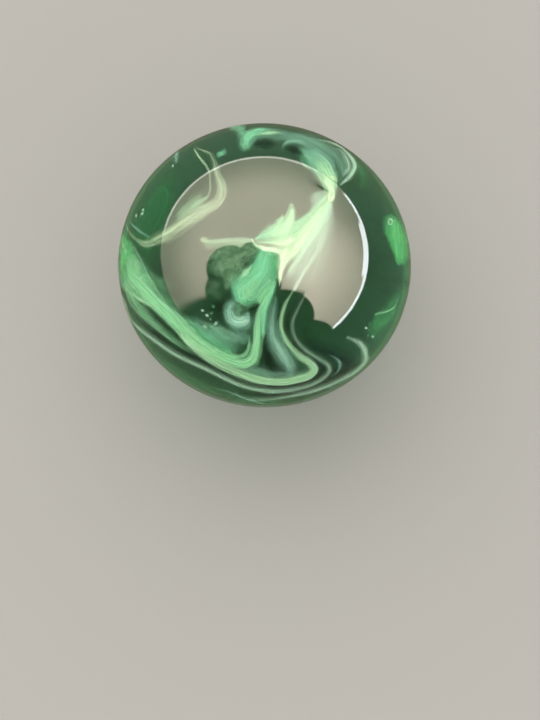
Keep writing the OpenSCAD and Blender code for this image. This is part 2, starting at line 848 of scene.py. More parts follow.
# How the fine threads in them run. Pairs are the least and the most that chance gives.
THREAD_REACH = 0.9
THREAD_SWING = 0.12
THREAD_TURNS = (2, 7)
THREAD_STARTS, THREAD_STARTS_OVER = (-0.1, 0.35), 0.15
THREAD_ENDS, THREAD_ENDS_OVER = (0.6, 1.1), 0.2
THREAD_WIDTHS = (0.05, 0.13)
THREAD_MILK = (0.15, 0.55)
THREAD_LIFT = 0.04
THREAD_OFFSET = 20.0

# The grid that they are laid on.
ROUGH_ROWS = 200
ROW_STEP, FEWEST_ROWS, MOST_ROWS = 0.09, 16, 420
COLUMN_STEP, FEWEST_COLUMNS, MOST_COLUMNS = 0.035, 4, 28


@dataclass
class Sheet:
    """Corners, faces and their values, gathered into one mesh.

    Attributes:
        points: The corners of each strip.
        faces: The faces of each strip, as corner numbers.
        flows: Each corner's place along and across the flow, in mm.
        veils: How much milk each corner holds.
        tones: The tone of each face.
        count: How many corners there are so far.
    """

    points: list[np.ndarray] = field(default_factory=list)
    faces: list[np.ndarray] = field(default_factory=list)
    flows: list[np.ndarray] = field(default_factory=list)
    veils: list[np.ndarray] = field(default_factory=list)
    tones: list[Tone] = field(default_factory=list)
    count: int = 0

    def take(self, points: np.ndarray, flow: np.ndarray, veil: np.ndarray, tone: Tone) -> None:
        """Adds a grid of points as one strip.

        Args:
            points: The grid's points, rows along the flow and columns across it.
            flow: A place along and across the flow for each point, in mm.
            veil: How much milk each point holds.
            tone: The strip's tone.
        """
        rows, columns = points.shape[:2]
        grid = np.arange(rows * columns).reshape(rows, columns) + self.count
        quads = np.stack([grid[:-1, :-1], grid[1:, :-1], grid[1:, 1:], grid[:-1, 1:]], axis=-1)
        self.points.append(points.reshape(-1, 3))
        self.faces.append(quads.reshape(-1, 4))
        self.flows.append(flow.reshape(-1, 2))
        self.veils.append(veil.reshape(-1))
        self.tones += [tone] * len(self.faces[-1])
        self.count += rows * columns

    def build(self, name: str, finishes: dict[Tone, Material]) -> bpy.types.Object:
        """Makes the mesh object.

        Args:
            name: The piece's name.
            finishes: The material of each tone.

        Returns:
            The new piece.
        """
        made = new_object(name, np.vstack(self.points), np.vstack(self.faces))
        mesh = made.data
        used = sorted(set(self.tones), key=lambda tone: tone.value)
        for tone in used:
            mesh.materials.append(finishes[tone])
        mesh.polygons.foreach_set("material_index", [used.index(tone) for tone in self.tones])
        veil = mesh.attributes.new("veil", "FLOAT", "POINT")
        veil.data.foreach_set("value", np.concatenate(self.veils).astype(np.float32))
        corners = np.zeros(len(mesh.loops), dtype=np.int32)
        mesh.loops.foreach_get("vertex_index", corners)
        layer = mesh.uv_layers.new(name="flow")
        layer.data.foreach_set("uv", np.vstack(self.flows)[corners].reshape(-1).astype(np.float32))
        return made


def stretch(middle: np.ndarray, eye: Eye) -> np.ndarray:
    """How much wider a ribbon must be than the eye sees it, where the ball's side turns away.

    Args:
        middle: Points along the ribbon's middle, from the ball's centre.
        eye: The main view.

    Returns:
        The stretch at each point.
    """
    pole = np.array(eye.pole)
    on = np.gradient(middle, axis=0)
    on /= np.linalg.norm(on, axis=1, keepdims=True)
    facing = middle @ pole / np.linalg.norm(middle, axis=1)
    seen = np.sqrt(np.clip(1 - (on @ pole) ** 2, 0, 1)) / np.maximum(facing, STEEPEST)
    near = np.clip((facing + 0.1) / 0.25, 0, 1)
    return 1 + (np.maximum(seen, 1.0) - 1) * near * near * (3 - 2 * near)


class Course:
    """A ribbon's run through the ball, worked out row by row.

    Attributes:
        ribbon: The ribbon.
        ball: The ball's form.
        fineness: How fine the grid is, as a share of the finest.
        share: How far along the ribbon each row lies, from 0 to 1.
        run: Where along the flow each row lies, in mm.
        middle: The middle of each row, from the ball's centre.
        side: The direction to the right of each row.
        half: Half the width of each row, in mm.
        depth: How far each row lies below the surface, in mm.
        milk: How much milk each row holds.
    """

    def __init__(self, ribbon: Ribbon, ball: Ball, eye: Eye, start: float, fineness: float) -> None:
        """Works out the rows.

        Args:
            ribbon: The ribbon.
            ball: The ball's form.
            eye: The main view.
            start: Where along the flow the ribbon's own streaks start, in mm.
            fineness: How fine the grid is, as a share of the finest.
        """
        stops = [*ribbon.route, *ribbon.beyond]
        deep = profile(ribbon.depths, np.linspace(0, 1, len(stops))) * MM
        near = len(ribbon.route)
        ways = np.array([ball.seen(eye, stop, deep[k], k >= near) for k, stop in enumerate(stops)])
        ways *= ball.half.mean() / np.linalg.norm(ways, axis=1, keepdims=True)
        steps = np.diff(spline(ways, ROUGH_ROWS), axis=0)
        length = float(np.linalg.norm(steps, axis=1).sum()) / MM
        rows = int(np.clip(length * fineness / ROW_STEP, FEWEST_ROWS, MOST_ROWS))
        self.ribbon, self.ball, self.fineness = ribbon, ball, fineness
        self.share = np.linspace(0, 1, rows)
        self.run = self.share * length + start
        self.middle = spline(ways, rows)
        out = self.middle / np.linalg.norm(self.middle, axis=1, keepdims=True)
        side = np.cross(np.gradient(self.middle, axis=0), out)
        self.side = side / np.linalg.norm(side, axis=1, keepdims=True)
        self.half = profile(ribbon.widths, self.share) / 2 * stretch(self.middle, eye)
        self.depth = profile(ribbon.depths, self.share)
        self.milk = profile(ribbon.veil, self.share)

    def place(self, spread: np.ndarray, lift: float) -> np.ndarray:
        """Points beside the middle line.

        Args:
            spread: How far to the right of it each point lies, in mm.
            lift: How far above it they all lie, in mm.

        Returns:
            The points, in the row frame.
        """
        points = self.middle[:, None, :] + self.side[:, None, :] * spread[..., None] * MM
        deep = np.broadcast_to(self.depth[:, None] - lift, spread.shape)
        return self.ball.under(points, np.maximum(deep, LEAST_DEPTH) * MM)

    def flow(self, across: np.ndarray) -> np.ndarray:
        """The place along and across the flow of points that lie some mm across it."""
        return np.stack([np.broadcast_to(self.run[:, None], across.shape), across], axis=-1)

    def lay_ply(self, sheet: Sheet, ply: Ply) -> None:
        """Lays one of the ribbon's layers.

        Args:
            sheet: Where the strip goes.
            ply: The layer.
        """
        ridge = self.ribbon.ridge
        wide = self.half * ply.spread + np.minimum(self.half, SOFT_EDGE) * ply.soft
        most = MOST_COLUMNS * self.fineness
        columns = int(np.clip(wide.max() * self.fineness / COLUMN_STEP, FEWEST_COLUMNS, most)) + 1
        y = np.broadcast_to(np.linspace(-1, 1, columns), (len(self.share), columns))
        past = np.abs(y - ridge) / np.where(y > ridge, 1 - ridge, 1 + ridge)
        across = np.cos(np.clip(past, 0, 1) * math.pi / 2) ** RIDGE_FALL
        points = self.place(wide[:, None] * y, -ply.sink)
        flow = self.flow(y * wide.max() + ply.offset)
        sheet.take(points, flow, self.milk[:, None] * across * ply.milk, self.ribbon.tone)

    def lay_thread(self, sheet: Sheet, number: int, chance: np.random.Generator) -> None:
        """Lays one of the ribbon's fine threads, which wanders and comes and goes.

        Args:
            sheet: Where the strip goes.
            number: Which thread it is, from the left.
            chance: The source of chance.
        """
        share = self.share
        lane = -THREAD_REACH + 2 * THREAD_REACH * (number + chance.uniform(0.1, 0.9)) / self.ribbon.threads
        drift = lane + THREAD_SWING * np.sin(share * chance.uniform(*THREAD_TURNS) + chance.uniform(0, 6))
        first, last = chance.uniform(*THREAD_STARTS), chance.uniform(*THREAD_ENDS)
        there = np.clip((share - first) / THREAD_STARTS_OVER, 0, 1)
        there *= np.clip((last - share) / THREAD_ENDS_OVER, 0, 1)
        wide = chance.uniform(*THREAD_WIDTHS) * np.sqrt(there)
        off = wide[:, None] / 2 * np.array([-1.0, 0.0, 1.0])
        milk = chance.uniform(*THREAD_MILK) * there * np.sqrt(np.clip(self.milk, 0, 1))
        points = self.place((self.half * drift)[:, None] + off, THREAD_LIFT)
        flow = self.flow(off + THREAD_OFFSET + number)
        sheet.take(points, flow, milk[:, None] * np.array([0.0, 1.0, 0.0]), Tone.THREAD)


@dataclass(frozen=True)
class SwirlPart:
    """A group of ribbons that make one piece.

    Attributes:
        name: The piece's name.
        ribbons: Its ribbons.
        fineness: How fine its grid is, as a share of the finest.
    """

    name: str
    ribbons: tuple[Ribbon, ...]
    fineness: float = 1.0

    def build(self, ball: Ball, eye: Eye, finishes: dict[Tone, Material]) -> bpy.types.Object:
        """Builds the piece and dresses it.

        Args:
            ball: The ball's form.
            eye: The main view.
            finishes: The material of each tone.

        Returns:
            The new piece.
        """
        sheet = Sheet()
        chance = np.random.default_rng(len(self.name) * 100 + len(self.ribbons))
        for number, ribbon in enumerate(self.ribbons):
            course = Course(ribbon, ball, eye, number * STREAK_STEP, self.fineness)
            for ply in PLIES:
                course.lay_ply(sheet, ply)
            for thread in range(ribbon.threads):
                course.lay_thread(sheet, thread, chance)
        return sheet.build(self.name, finishes)


# Where the fan's ribbons meet, and how fine the grid is on the far side, which the main view hides.
WAIST = (3.72, 4.05)
FAR_FINENESS = 0.66

FAN = SwirlPart("fan", (
    *(
        Ribbon(tone, (WAIST, *route), widths=widths, depths=(depth,), veil=veil, threads=threads)
        for tone, route, widths, depth, veil, threads in (
            (Tone.MINT, ((3.0, 3.15), (2.45, 2.45), (1.8, 2.0), (1.0, 1.9), (0.3, 1.75), (-0.55, 1.45)),
             (0.3, 0.4, 0.6, 0.95, 1.1, 0.8, 0.25), 1.5, (0.7, 0.8, 0.9, 1.0, 1.0, 0.9, 0.5), 2),
            (Tone.PALE, ((3.05, 2.95), (2.4, 2.2), (1.7, 1.7), (0.9, 1.45), (0.1, 1.3), (-0.45, 1.3)),
             (0.35, 0.6, 0.85, 1.0, 0.85, 0.5, 0.2), 1.2, (0.8, 0.9, 1.0, 0.9, 0.8, 0.7, 0.4), 3),
            (Tone.PALE, ((3.1, 2.85), (2.45, 1.95), (1.8, 1.3), (1.2, 0.9), (0.5, 0.85)),
             (0.35, 0.6, 0.85, 1.0, 0.9, 0.4), 1.0, (0.9, 1.0, 1.0, 0.9, 0.7, 0.3), 3),
            (Tone.CREAM, ((3.12, 2.75), (2.45, 1.75), (1.8, 0.95), (1.25, 0.35), (0.97, -0.1),
                          (0.88, -0.6)),
             (0.35, 0.5, 0.65, 0.75, 0.7, 0.45, 0.15), 0.8, (0.6, 0.6, 0.7, 0.8, 0.8, 0.8, 0.4), 3),
            (Tone.PALE, ((3.25, 2.7), (2.65, 1.65), (2.0, 0.65), (1.4, -0.25), (0.98, -0.95)),
             (0.2, 0.32, 0.34, 0.34, 0.28, 0.1), 0.6, (0.4, 0.5, 0.55, 0.55, 0.4, 0.0), 2),
        )
    ),
    Ribbon(Tone.PALE, ((0.5, 1.55), (1.1, 1.95), (1.4, 2.55), (1.52, 3.05), (1.48, 3.45)),
           widths=(0.9, 1.25, 0.9, 0.5, 0.3), depths=(1.0,), veil=(0.3, 0.9, 0.9, 0.8, 0.3)),
    Ribbon(Tone.CLOUD, ((0.1, 1.5), (0.6, 1.95), (0.9, 2.45), (1.02, 2.9)),
           widths=(0.8, 0.9, 0.6, 0.15), depths=(1.1,), veil=(0.3, 0.9, 0.8, 0.2)),
    Ribbon(Tone.CLOUD, ((1.2, 1.7), (1.75, 2.1), (2.35, 2.65), (2.8, 3.15)),
           widths=(0.7, 0.8, 0.5, 0.15), depths=(1.1,), veil=(0.5, 0.8, 0.6, 0.1)),
    *(
        Ribbon(Tone.THREAD, route, widths=(0.2, 0.34, 0.3), depths=(0.6,), veil=(0.2, 0.2, 0.0))
        for route in (
            ((3.5, 4.08), (3.0, 3.98), (2.42, 3.68)),
            ((3.5, 3.92), (2.95, 3.72), (2.32, 3.4)),
            ((3.45, 3.78), (2.95, 3.42), (2.5, 3.02)),
        )
    ),
    Ribbon(Tone.CREAM, ((-0.72, 1.5), (-0.5, 1.15), (0.05, 0.93), (0.65, 0.86), (1.15, 0.7)),
           widths=(0.1, 0.26, 0.34, 0.44, 0.2), depths=(0.5,), veil=(0.3, 0.6, 0.55, 0.55, 0.1), threads=2),
    Ribbon(Tone.CREAM, ((0.2, 1.2), (0.8, 1.22), (1.35, 1.35), (1.9, 1.75)),
           widths=(0.12, 0.4, 0.6, 0.2), depths=(0.5,), veil=(0.1, 0.6, 0.55, 0.0), threads=2),
    Ribbon(Tone.CREAM, ((1.3, 1.15), (1.05, 0.55), (0.93, 0.0), (0.86, -0.6), (0.83, -1.25)),
           widths=(0.6, 0.6, 0.4, 0.22, 0.06), depths=(0.5,), veil=(0.2, 0.7, 0.8, 0.7, 0.1), threads=2),
    Ribbon(Tone.PALE, ((-0.6, 1.42), (-1.4, 1.45), (-2.2, 1.4), (-3.0, 1.3), (-3.8, 1.1)),
           widths=(0.2, 0.42, 0.55, 0.6, 0.3), depths=(0.8,), veil=(0.35, 0.28, 0.26, 0.26, 0.0),
           ridge=-0.5, threads=2),
    Ribbon(Tone.CREAM, ((-3.8, 1.42), (-3.4, 1.45), (-2.9, 1.38)),
           widths=(0.25, 0.36, 0.3), depths=(0.5,), veil=(0.0, 0.26, 0.0)),
    *(
        Ribbon(Tone.THREAD, route, widths=widths, depths=(0.5,), veil=veil, threads=2)
        for route, widths, veil in (
            (((3.6, 3.6), (2.95, 2.2), (2.25, 0.9), (1.45, -0.4), (1.05, -1.2)),
             (0.08, 0.16, 0.2, 0.22, 0.2), (0.2, 0.22, 0.2, 0.16, 0.0)),
            (((3.66, 3.5), (3.35, 2.1), (2.9, 0.8), (2.2, -0.3), (1.62, -1.4)),
             (0.08, 0.2, 0.26, 0.26, 0.22), (0.1, 0.14, 0.16, 0.2, 0.28)),
            (((3.64, 3.45), (3.05, 2.0), (2.3, 0.6), (1.6, -0.5), (1.2, -1.2)),
             (0.3, 0.9, 1.2, 1.1, 0.8), (0.24, 0.2, 0.16, 0.14, 0.0)),
            (((3.7, 3.4), (3.45, 2.0), (3.0, 0.5), (2.5, -0.7), (2.2, -1.7)),
             (0.3, 1.0, 1.7, 2.0, 1.8), (0.14, 0.1, 0.07, 0.06, 0.0)),
        )
    ),
))
MASS = SwirlPart("mint_mass", (
    Ribbon(Tone.MOSS, ((-0.5, 1.0), (-1.2, 0.65), (-1.9, 0.25), (-2.6, 0.0), (-3.2, -0.15)),
           widths=(0.9, 1.6, 2.0, 1.6, 0.7), depths=(1.3,), veil=(0.8, 1.0, 1.0, 0.9, 0.2)),
    Ribbon(Tone.MOSS, ((-0.7, 1.15), (-1.4, 1.08), (-2.1, 0.85), (-2.7, 0.65), (-3.25, 0.3)),
           widths=(0.3, 0.5, 0.6, 0.5, 0.35), depths=(1.0,), veil=(0.5, 0.7, 0.7, 0.8, 0.2)),
    Ribbon(Tone.MOSS, ((-0.9, 0.0), (-1.5, -0.5), (-2.0, -0.95), (-2.2, -1.5)),
           widths=(0.9, 1.5, 1.4, 0.5), depths=(1.4,), veil=(0.8, 0.9, 0.8, 0.1)),
    Ribbon(Tone.MOSS, ((-2.9, -0.5), (-2.85, -1.2), (-2.4, -1.9)),
           widths=(0.7, 1.3, 0.7), depths=(1.5,), veil=(0.1, 0.4, 0.1)),
    *(
        Ribbon(tone, route, widths=widths, depths=(depth,), veil=veil, threads=2)
        for tone, route, widths, depth, veil in (
            (Tone.MINT, ((0.42, 1.0), (0.28, 0.4), (0.03, -0.25), (-0.38, -0.9), (-0.9, -1.5),
                         (-1.25, -2.15)),
             (1.4, 1.6, 2.0, 2.3, 2.3, 1.2), 1.5, (0.8, 1.0, 1.0, 1.0, 1.0, 0.4)),
            (Tone.MINT, ((0.15, 1.0), (0.05, 0.4), (-0.2, -0.25), (-0.7, -0.9), (-1.2, -1.45),
                         (-1.5, -2.0)),
             (1.1, 1.2, 1.4, 1.7, 1.8, 1.0), 1.1, (0.6, 0.9, 0.9, 0.9, 0.9, 0.4)),
            (Tone.CLOUD, ((-0.2, -0.6), (-0.6, -1.05), (-0.95, -1.5), (-1.25, -1.95)),
             (0.9, 1.5, 1.6, 0.8), 0.9, (0.0, 0.45, 0.55, 0.2)),
            (Tone.BAND, ((0.62, -0.6), (0.35, -1.1), (0.0, -1.6), (-0.25, -2.1)),
             (0.4, 0.8, 0.9, 0.6), 0.8, (0.2, 0.6, 0.7, 0.5)),
        )
    ),
    Ribbon(Tone.LEAF, ((0.65, 0.8), (0.55, 0.2), (0.4, -0.5)),
           widths=(0.3, 0.5, 0.3), depths=(0.8,), veil=(0.1, 0.25, 0.0), threads=1),
    Ribbon(Tone.PALE, ((-0.68, 0.05), (-1.0, -0.32), (-1.38, -0.75)),
           widths=(0.14, 0.28, 0.14), depths=(0.8,), veil=(0.3, 0.7, 0.2), threads=1),
    # Painted shade: a near-black streak that darkens the mint mass.
    Ribbon(Tone.DEEP, ((-0.75, 0.4), (-1.05, 0.05), (-1.4, -0.4)),
           widths=(0.1, 0.2, 0.1), depths=(0.9,), veil=(0.0, 0.5, 0.0)),
    Ribbon(Tone.CLOUD, ((-1.0, -2.0), (-1.45, -2.4), (-1.55, -2.9), (-1.2, -3.4)),
           widths=(1.0, 1.5, 1.7, 1.0), depths=(1.0,), veil=(0.2, 0.3, 0.35, 0.05), threads=1),
    Ribbon(Tone.SMOKE,
           ((-1.5, -1.95), (-1.9, -2.25), (-1.95, -2.75), (-1.6, -3.1), (-1.1, -3.05), (-0.9, -2.6)),
           widths=(0.4, 0.5, 0.6, 0.7, 0.7, 0.3), depths=(0.8,), veil=(0.2, 0.9, 1.2, 1.7, 1.8, 0.4),
           threads=1),
    Ribbon(Tone.SMOKE, ((-1.6, -2.9), (-1.4, -3.5), (-1.15, -4.1), (-1.0, -4.6)),
           widths=(0.9, 1.4, 1.2, 0.5), depths=(1.0,), veil=(0.3, 0.4, 0.3, 0.05), threads=2),
    Ribbon(Tone.CLOUD, ((-3.4, -3.3), (-2.6, -3.9), (-1.7, -4.35), (-0.95, -4.3)),
           widths=(0.8, 1.5, 1.5, 0.6), depths=(1.3,), veil=(0.1, 0.3, 0.3, 0.05)),
    Ribbon(Tone.SMOKE, ((-3.2, -3.3), (-2.4, -3.8), (-1.6, -4.1), (-1.1, -3.8)),
           widths=(0.6, 1.3, 1.3, 0.5), depths=(1.2,), veil=(0.1, 0.45, 0.4, 0.1), threads=2),
))
FALLING = SwirlPart("falling_ribbons", (
    Ribbon(Tone.MINT, ((0.5, -1.1), (0.3, -1.6), (0.06, -2.2), (-0.08, -2.8), (-0.1, -3.5), (-0.12, -4.2)),
           widths=(0.3, 0.36, 0.4, 0.4, 0.36, 0.2), depths=(0.7,), veil=(0.4, 0.9, 0.9, 0.8, 0.7, 0.0)),
    Ribbon(Tone.BAND, ((0.78, -0.5), (0.48, -1.2), (0.05, -1.9), (-0.28, -2.6), (-0.38, -3.3), (-0.4, -4.0),
                       (-0.48, -4.6), (-0.65, -5.2), (-1.15, -5.48), (-1.75, -5.4), (-2.4, -5.15),
                       (-3.2, -4.7), (-3.95, -4.15), (-4.6, -3.5), (-5.15, -2.95), (-5.8, -2.3),
                       (-6.6, -1.5), (-7.3, -0.7), (-7.75, 0.2)),
           widths=(0.1, 0.35, 0.5, 0.6, 0.8, 0.9, 0.85, 0.9, 0.8, 0.8, 1.0, 1.2, 1.3, 1.1, 0.7, 0.3),
           depths=(0.5, 0.45),
           veil=(0.0, 0.6, 0.9, 1.0, 1.0, 0.9, 0.9, 0.8, 0.5, 0.35, 0.4, 0.7, 0.9, 0.9, 0.7, 0.4),
           threads=3,
           beyond=((-7.8, 1.0), (-7.0, 1.2), (-6.0, 0.2), (-5.0, -1.6), (-4.2, -3.2), (-3.7, -4.1))),
    Ribbon(Tone.MINT, ((-1.2, -5.2), (-2.2, -4.85), (-3.2, -4.3), (-4.2, -3.6), (-5.0, -2.9)),
           widths=(0.3, 1.0, 1.2, 1.0, 0.4), depths=(0.9,), veil=(0.0, 0.6, 0.8, 0.8, 0.3)),
    Ribbon(Tone.SMOKE, ((-4.6, -2.75), (-3.8, -3.35), (-2.9, -3.95), (-2.0, -4.5), (-1.1, -4.7)),
           widths=(0.4, 1.1, 1.4, 1.2, 0.4), depths=(1.1,), veil=(0.1, 0.5, 0.5, 0.4, 0.0), threads=3),
    Ribbon(Tone.BAND,
           ((-0.85, -3.7), (-0.87, -4.4), (-1.1, -4.9), (-1.6, -5.05), (-2.3, -4.8), (-3.2, -4.25)),
           widths=(0.1, 0.2, 0.26, 0.32, 0.2), depths=(0.4,), veil=(0.1, 0.6, 0.7, 0.5, 0.0), ridge=-0.4),
    Ribbon(Tone.BAND, ((-0.7, -4.4), (-0.82, -5.0), (-1.3, -5.25), (-2.0, -5.15), (-3.0, -4.65)),
           widths=(0.1, 0.2, 0.25, 0.2), depths=(0.4,), veil=(0.1, 0.6, 0.6, 0.0), ridge=-0.4),
    Ribbon(Tone.SMOKE, ((0.62, -1.7), (0.46, -2.5), (0.38, -3.2), (0.46, -3.9), (0.86, -4.7), (1.2, -5.3),
                        (1.42, -5.8), (1.3, -6.2)),
           widths=(0.3, 0.5, 0.7, 0.9, 1.0, 0.8, 0.4), depths=(0.7, 0.45),
           veil=(0.2, 0.5, 0.7, 0.9, 0.9, 0.5), ridge=-0.2),
    Ribbon(Tone.PALE, ((1.6, -1.35), (1.17, -2.1), (0.93, -2.95), (0.97, -3.65), (1.32, -4.4),
                       (1.92, -5.05), (2.45, -5.42), (2.7, -5.78), (2.43, -6.12), (1.74, -6.33),
                       (1.04, -6.45), (0.18, -6.42), (-0.52, -6.28), (-1.3, -5.98), (-2.16, -5.6),
                       (-3.0, -5.1), (-3.8, -4.5), (-4.5, -3.85), (-5.1, -3.3)),
           widths=(0.14, 0.26, 0.3, 0.36, 0.46, 0.56, 0.5, 0.5, 0.6, 0.7, 0.8, 0.8, 0.5), depths=(0.4,),
           veil=(0.3, 0.4, 0.4, 0.5, 0.6, 0.7, 0.8, 0.8, 0.7, 0.6, 0.6, 0.6, 0.0), ridge=-0.2, threads=2),
    Ribbon(Tone.BAND, ((-2.9, -5.35), (-4.1, -4.75), (-5.0, -4.15), (-5.8, -3.5), (-6.6, -2.8),
                       (-7.3, -2.0), (-7.8, -1.0)),
           widths=(0.2, 0.5, 0.8, 1.0, 1.0, 0.9, 0.9, 0.4), depths=(0.5,),
           veil=(0.0, 0.3, 0.35, 0.36, 0.34, 0.45, 0.7, 0.5), ridge=-0.2, threads=4,
           beyond=((-7.6, -0.1), (-6.6, -0.9), (-5.4, -2.2), (-4.4, -3.5), (-3.75, -4.2))),
    Ribbon(Tone.SMOKE,
           ((2.0, -5.4), (2.3, -5.75), (1.9, -6.1), (1.1, -6.2), (0.2, -6.15), (-0.7, -5.85), (-1.6, -5.5)),
           widths=(0.2, 0.6, 0.7, 0.6, 0.3), depths=(0.6,), veil=(0.0, 0.4, 0.5, 0.5, 0.2), ridge=0.5,
           threads=2),
    Ribbon(Tone.THREAD, ((2.3, -1.5), (1.75, -2.6), (1.54, -3.3), (1.75, -4.1), (2.34, -4.75), (3.04, -5.2),
                         (3.5, -5.5), (3.62, -5.85), (3.3, -6.25), (2.6, -6.65), (1.4, -6.95), (0.18, -7.0),
                         (-1.1, -6.75), (-1.9, -6.45), (-2.7, -6.05), (-3.6, -5.62), (-4.9, -5.0),
                         (-6.15, -4.15), (-6.9, -3.6), (-7.5, -2.9), (-7.85, -1.9)),
           widths=(0.2, 0.24, 0.24, 0.26, 0.24, 0.24, 0.2, 0.4, 0.6, 0.3),
           veil=(0.05, 0.12, 0.22, 0.3, 0.3, 0.3, 0.4, 0.5, 0.5, 0.4), threads=1,
           beyond=((-7.5, -1.4), (-6.4, -2.0), (-5.2, -3.0), (-4.2, -3.9), (-3.7, -4.3))),
    Ribbon(Tone.SMOKE, ((3.6, -4.95), (4.05, -5.2), (4.2, -5.55), (4.0, -6.0), (3.6, -6.2)),
           widths=(0.1, 0.22, 0.1), depths=(0.3,), veil=(0.2, 0.6, 0.1)),
    Ribbon(Tone.THREAD, ((4.6, -4.0), (5.3, -4.34), (5.6, -4.84), (5.55, -5.4), (5.05, -5.9), (4.2, -6.37),
                         (3.24, -6.8), (1.75, -7.2), (0.1, -7.45), (-1.6, -7.4)),
           widths=(0.16, 0.3, 0.28, 0.26, 0.24, 0.2, 0.2),
           veil=(0.15, 0.5, 0.45, 0.36, 0.26, 0.14, 0.0), ridge=-0.4),
    Ribbon(Tone.LEAF, ((3.0, -7.2), (0.5, -7.65), (-1.8, -7.4), (-4.0, -6.5), (-5.9, -5.2), (-7.2, -3.7)),
           widths=(0.3, 0.8, 1.0, 1.0, 0.8, 0.4), depths=(0.8,), veil=(0.0, 0.1, 0.12, 0.12, 0.12, 0.08)),
    Ribbon(Tone.SMOKE, ((-3.0, -6.75), (-2.0, -7.05), (-1.35, -7.3), (-0.3, -7.65), (0.4, -7.85)),
           widths=(0.06, 0.16, 0.1), depths=(0.3,), veil=(0.2, 0.7, 0.1)),
))
# Painted shade: near-black bands that darken the glass beside the falling ribbons, at the lower left and by
# the top rim.
SHADE_BANDS = SwirlPart("deep_bands", (
    Ribbon(Tone.DEEP, ((0.15, -3.4), (0.1, -4.6), (0.3, -5.5), (1.0, -6.0), (2.3, -5.75)),
           widths=(0.2, 0.6, 0.9, 0.8, 0.2), depths=(1.0,), veil=(0.2, 0.8, 0.9, 0.9, 0.0)),
    Ribbon(Tone.DEEP, ((1.8, -1.8), (1.35, -2.7), (1.25, -3.35), (1.4, -4.0), (1.9, -4.75), (2.6, -5.2),
                       (3.1, -5.5), (3.2, -5.85), (2.85, -6.2), (2.1, -6.5), (1.2, -6.75), (0.1, -6.75),
                       (-0.95, -6.55), (-1.9, -6.1), (-3.1, -5.5), (-4.45, -4.85), (-5.75, -4.0),
                       (-6.9, -3.0), (-7.65, -1.95)),
           widths=(0.4, 0.6, 0.5, 0.35, 0.4, 0.6, 0.7, 0.3), depths=(0.8,),
           veil=(0.1, 0.5, 0.8, 0.9, 0.8, 0.6, 0.3)),
    Ribbon(Tone.DEEP, ((2.6, -2.9), (2.3, -3.7), (2.8, -4.5), (3.9, -5.0), (4.6, -5.4), (4.4, -6.0),
                       (3.3, -6.5), (1.8, -7.0), (0.2, -7.2), (-1.5, -7.05)),
           widths=(0.4, 0.9, 1.2, 1.2, 0.6, 0.3), depths=(0.9,), veil=(0.0, 0.6, 0.8, 0.8, 0.7, 0.3)),
    Ribbon(Tone.DEEP, ((0.3, -1.6), (-0.6, -2.3), (-1.4, -2.4), (-2.4, -2.3), (-3.6, -2.4)),
           widths=(0.4, 0.8, 1.0, 1.2, 0.6), depths=(1.6,), veil=(0.0, 0.5, 0.6, 0.6, 0.0)),
    Ribbon(Tone.DEEP,
           ((-7.75, -1.7), (-7.0, -2.35), (-6.1, -2.9), (-5.3, -3.5), (-4.6, -4.0), (-3.9, -4.4)),
           widths=(0.2, 0.4, 0.5, 0.5, 0.35, 0.1), depths=(0.75,), veil=(0.1, 0.18, 0.2, 0.3, 0.3, 0.0)),
    Ribbon(Tone.DEEP, ((-0.85, 6.6), (0.0, 6.78), (0.95, 6.6)),
           widths=(0.3, 0.75, 0.3), depths=(0.75,), veil=(0.0, 1.0, 0.0)),
    Ribbon(Tone.DEEP, ((0.9, 6.45), (1.6, 6.45), (2.3, 6.15)),
           widths=(0.3, 0.7, 0.3), depths=(0.75,), veil=(0.0, 1.0, 0.0)),
))
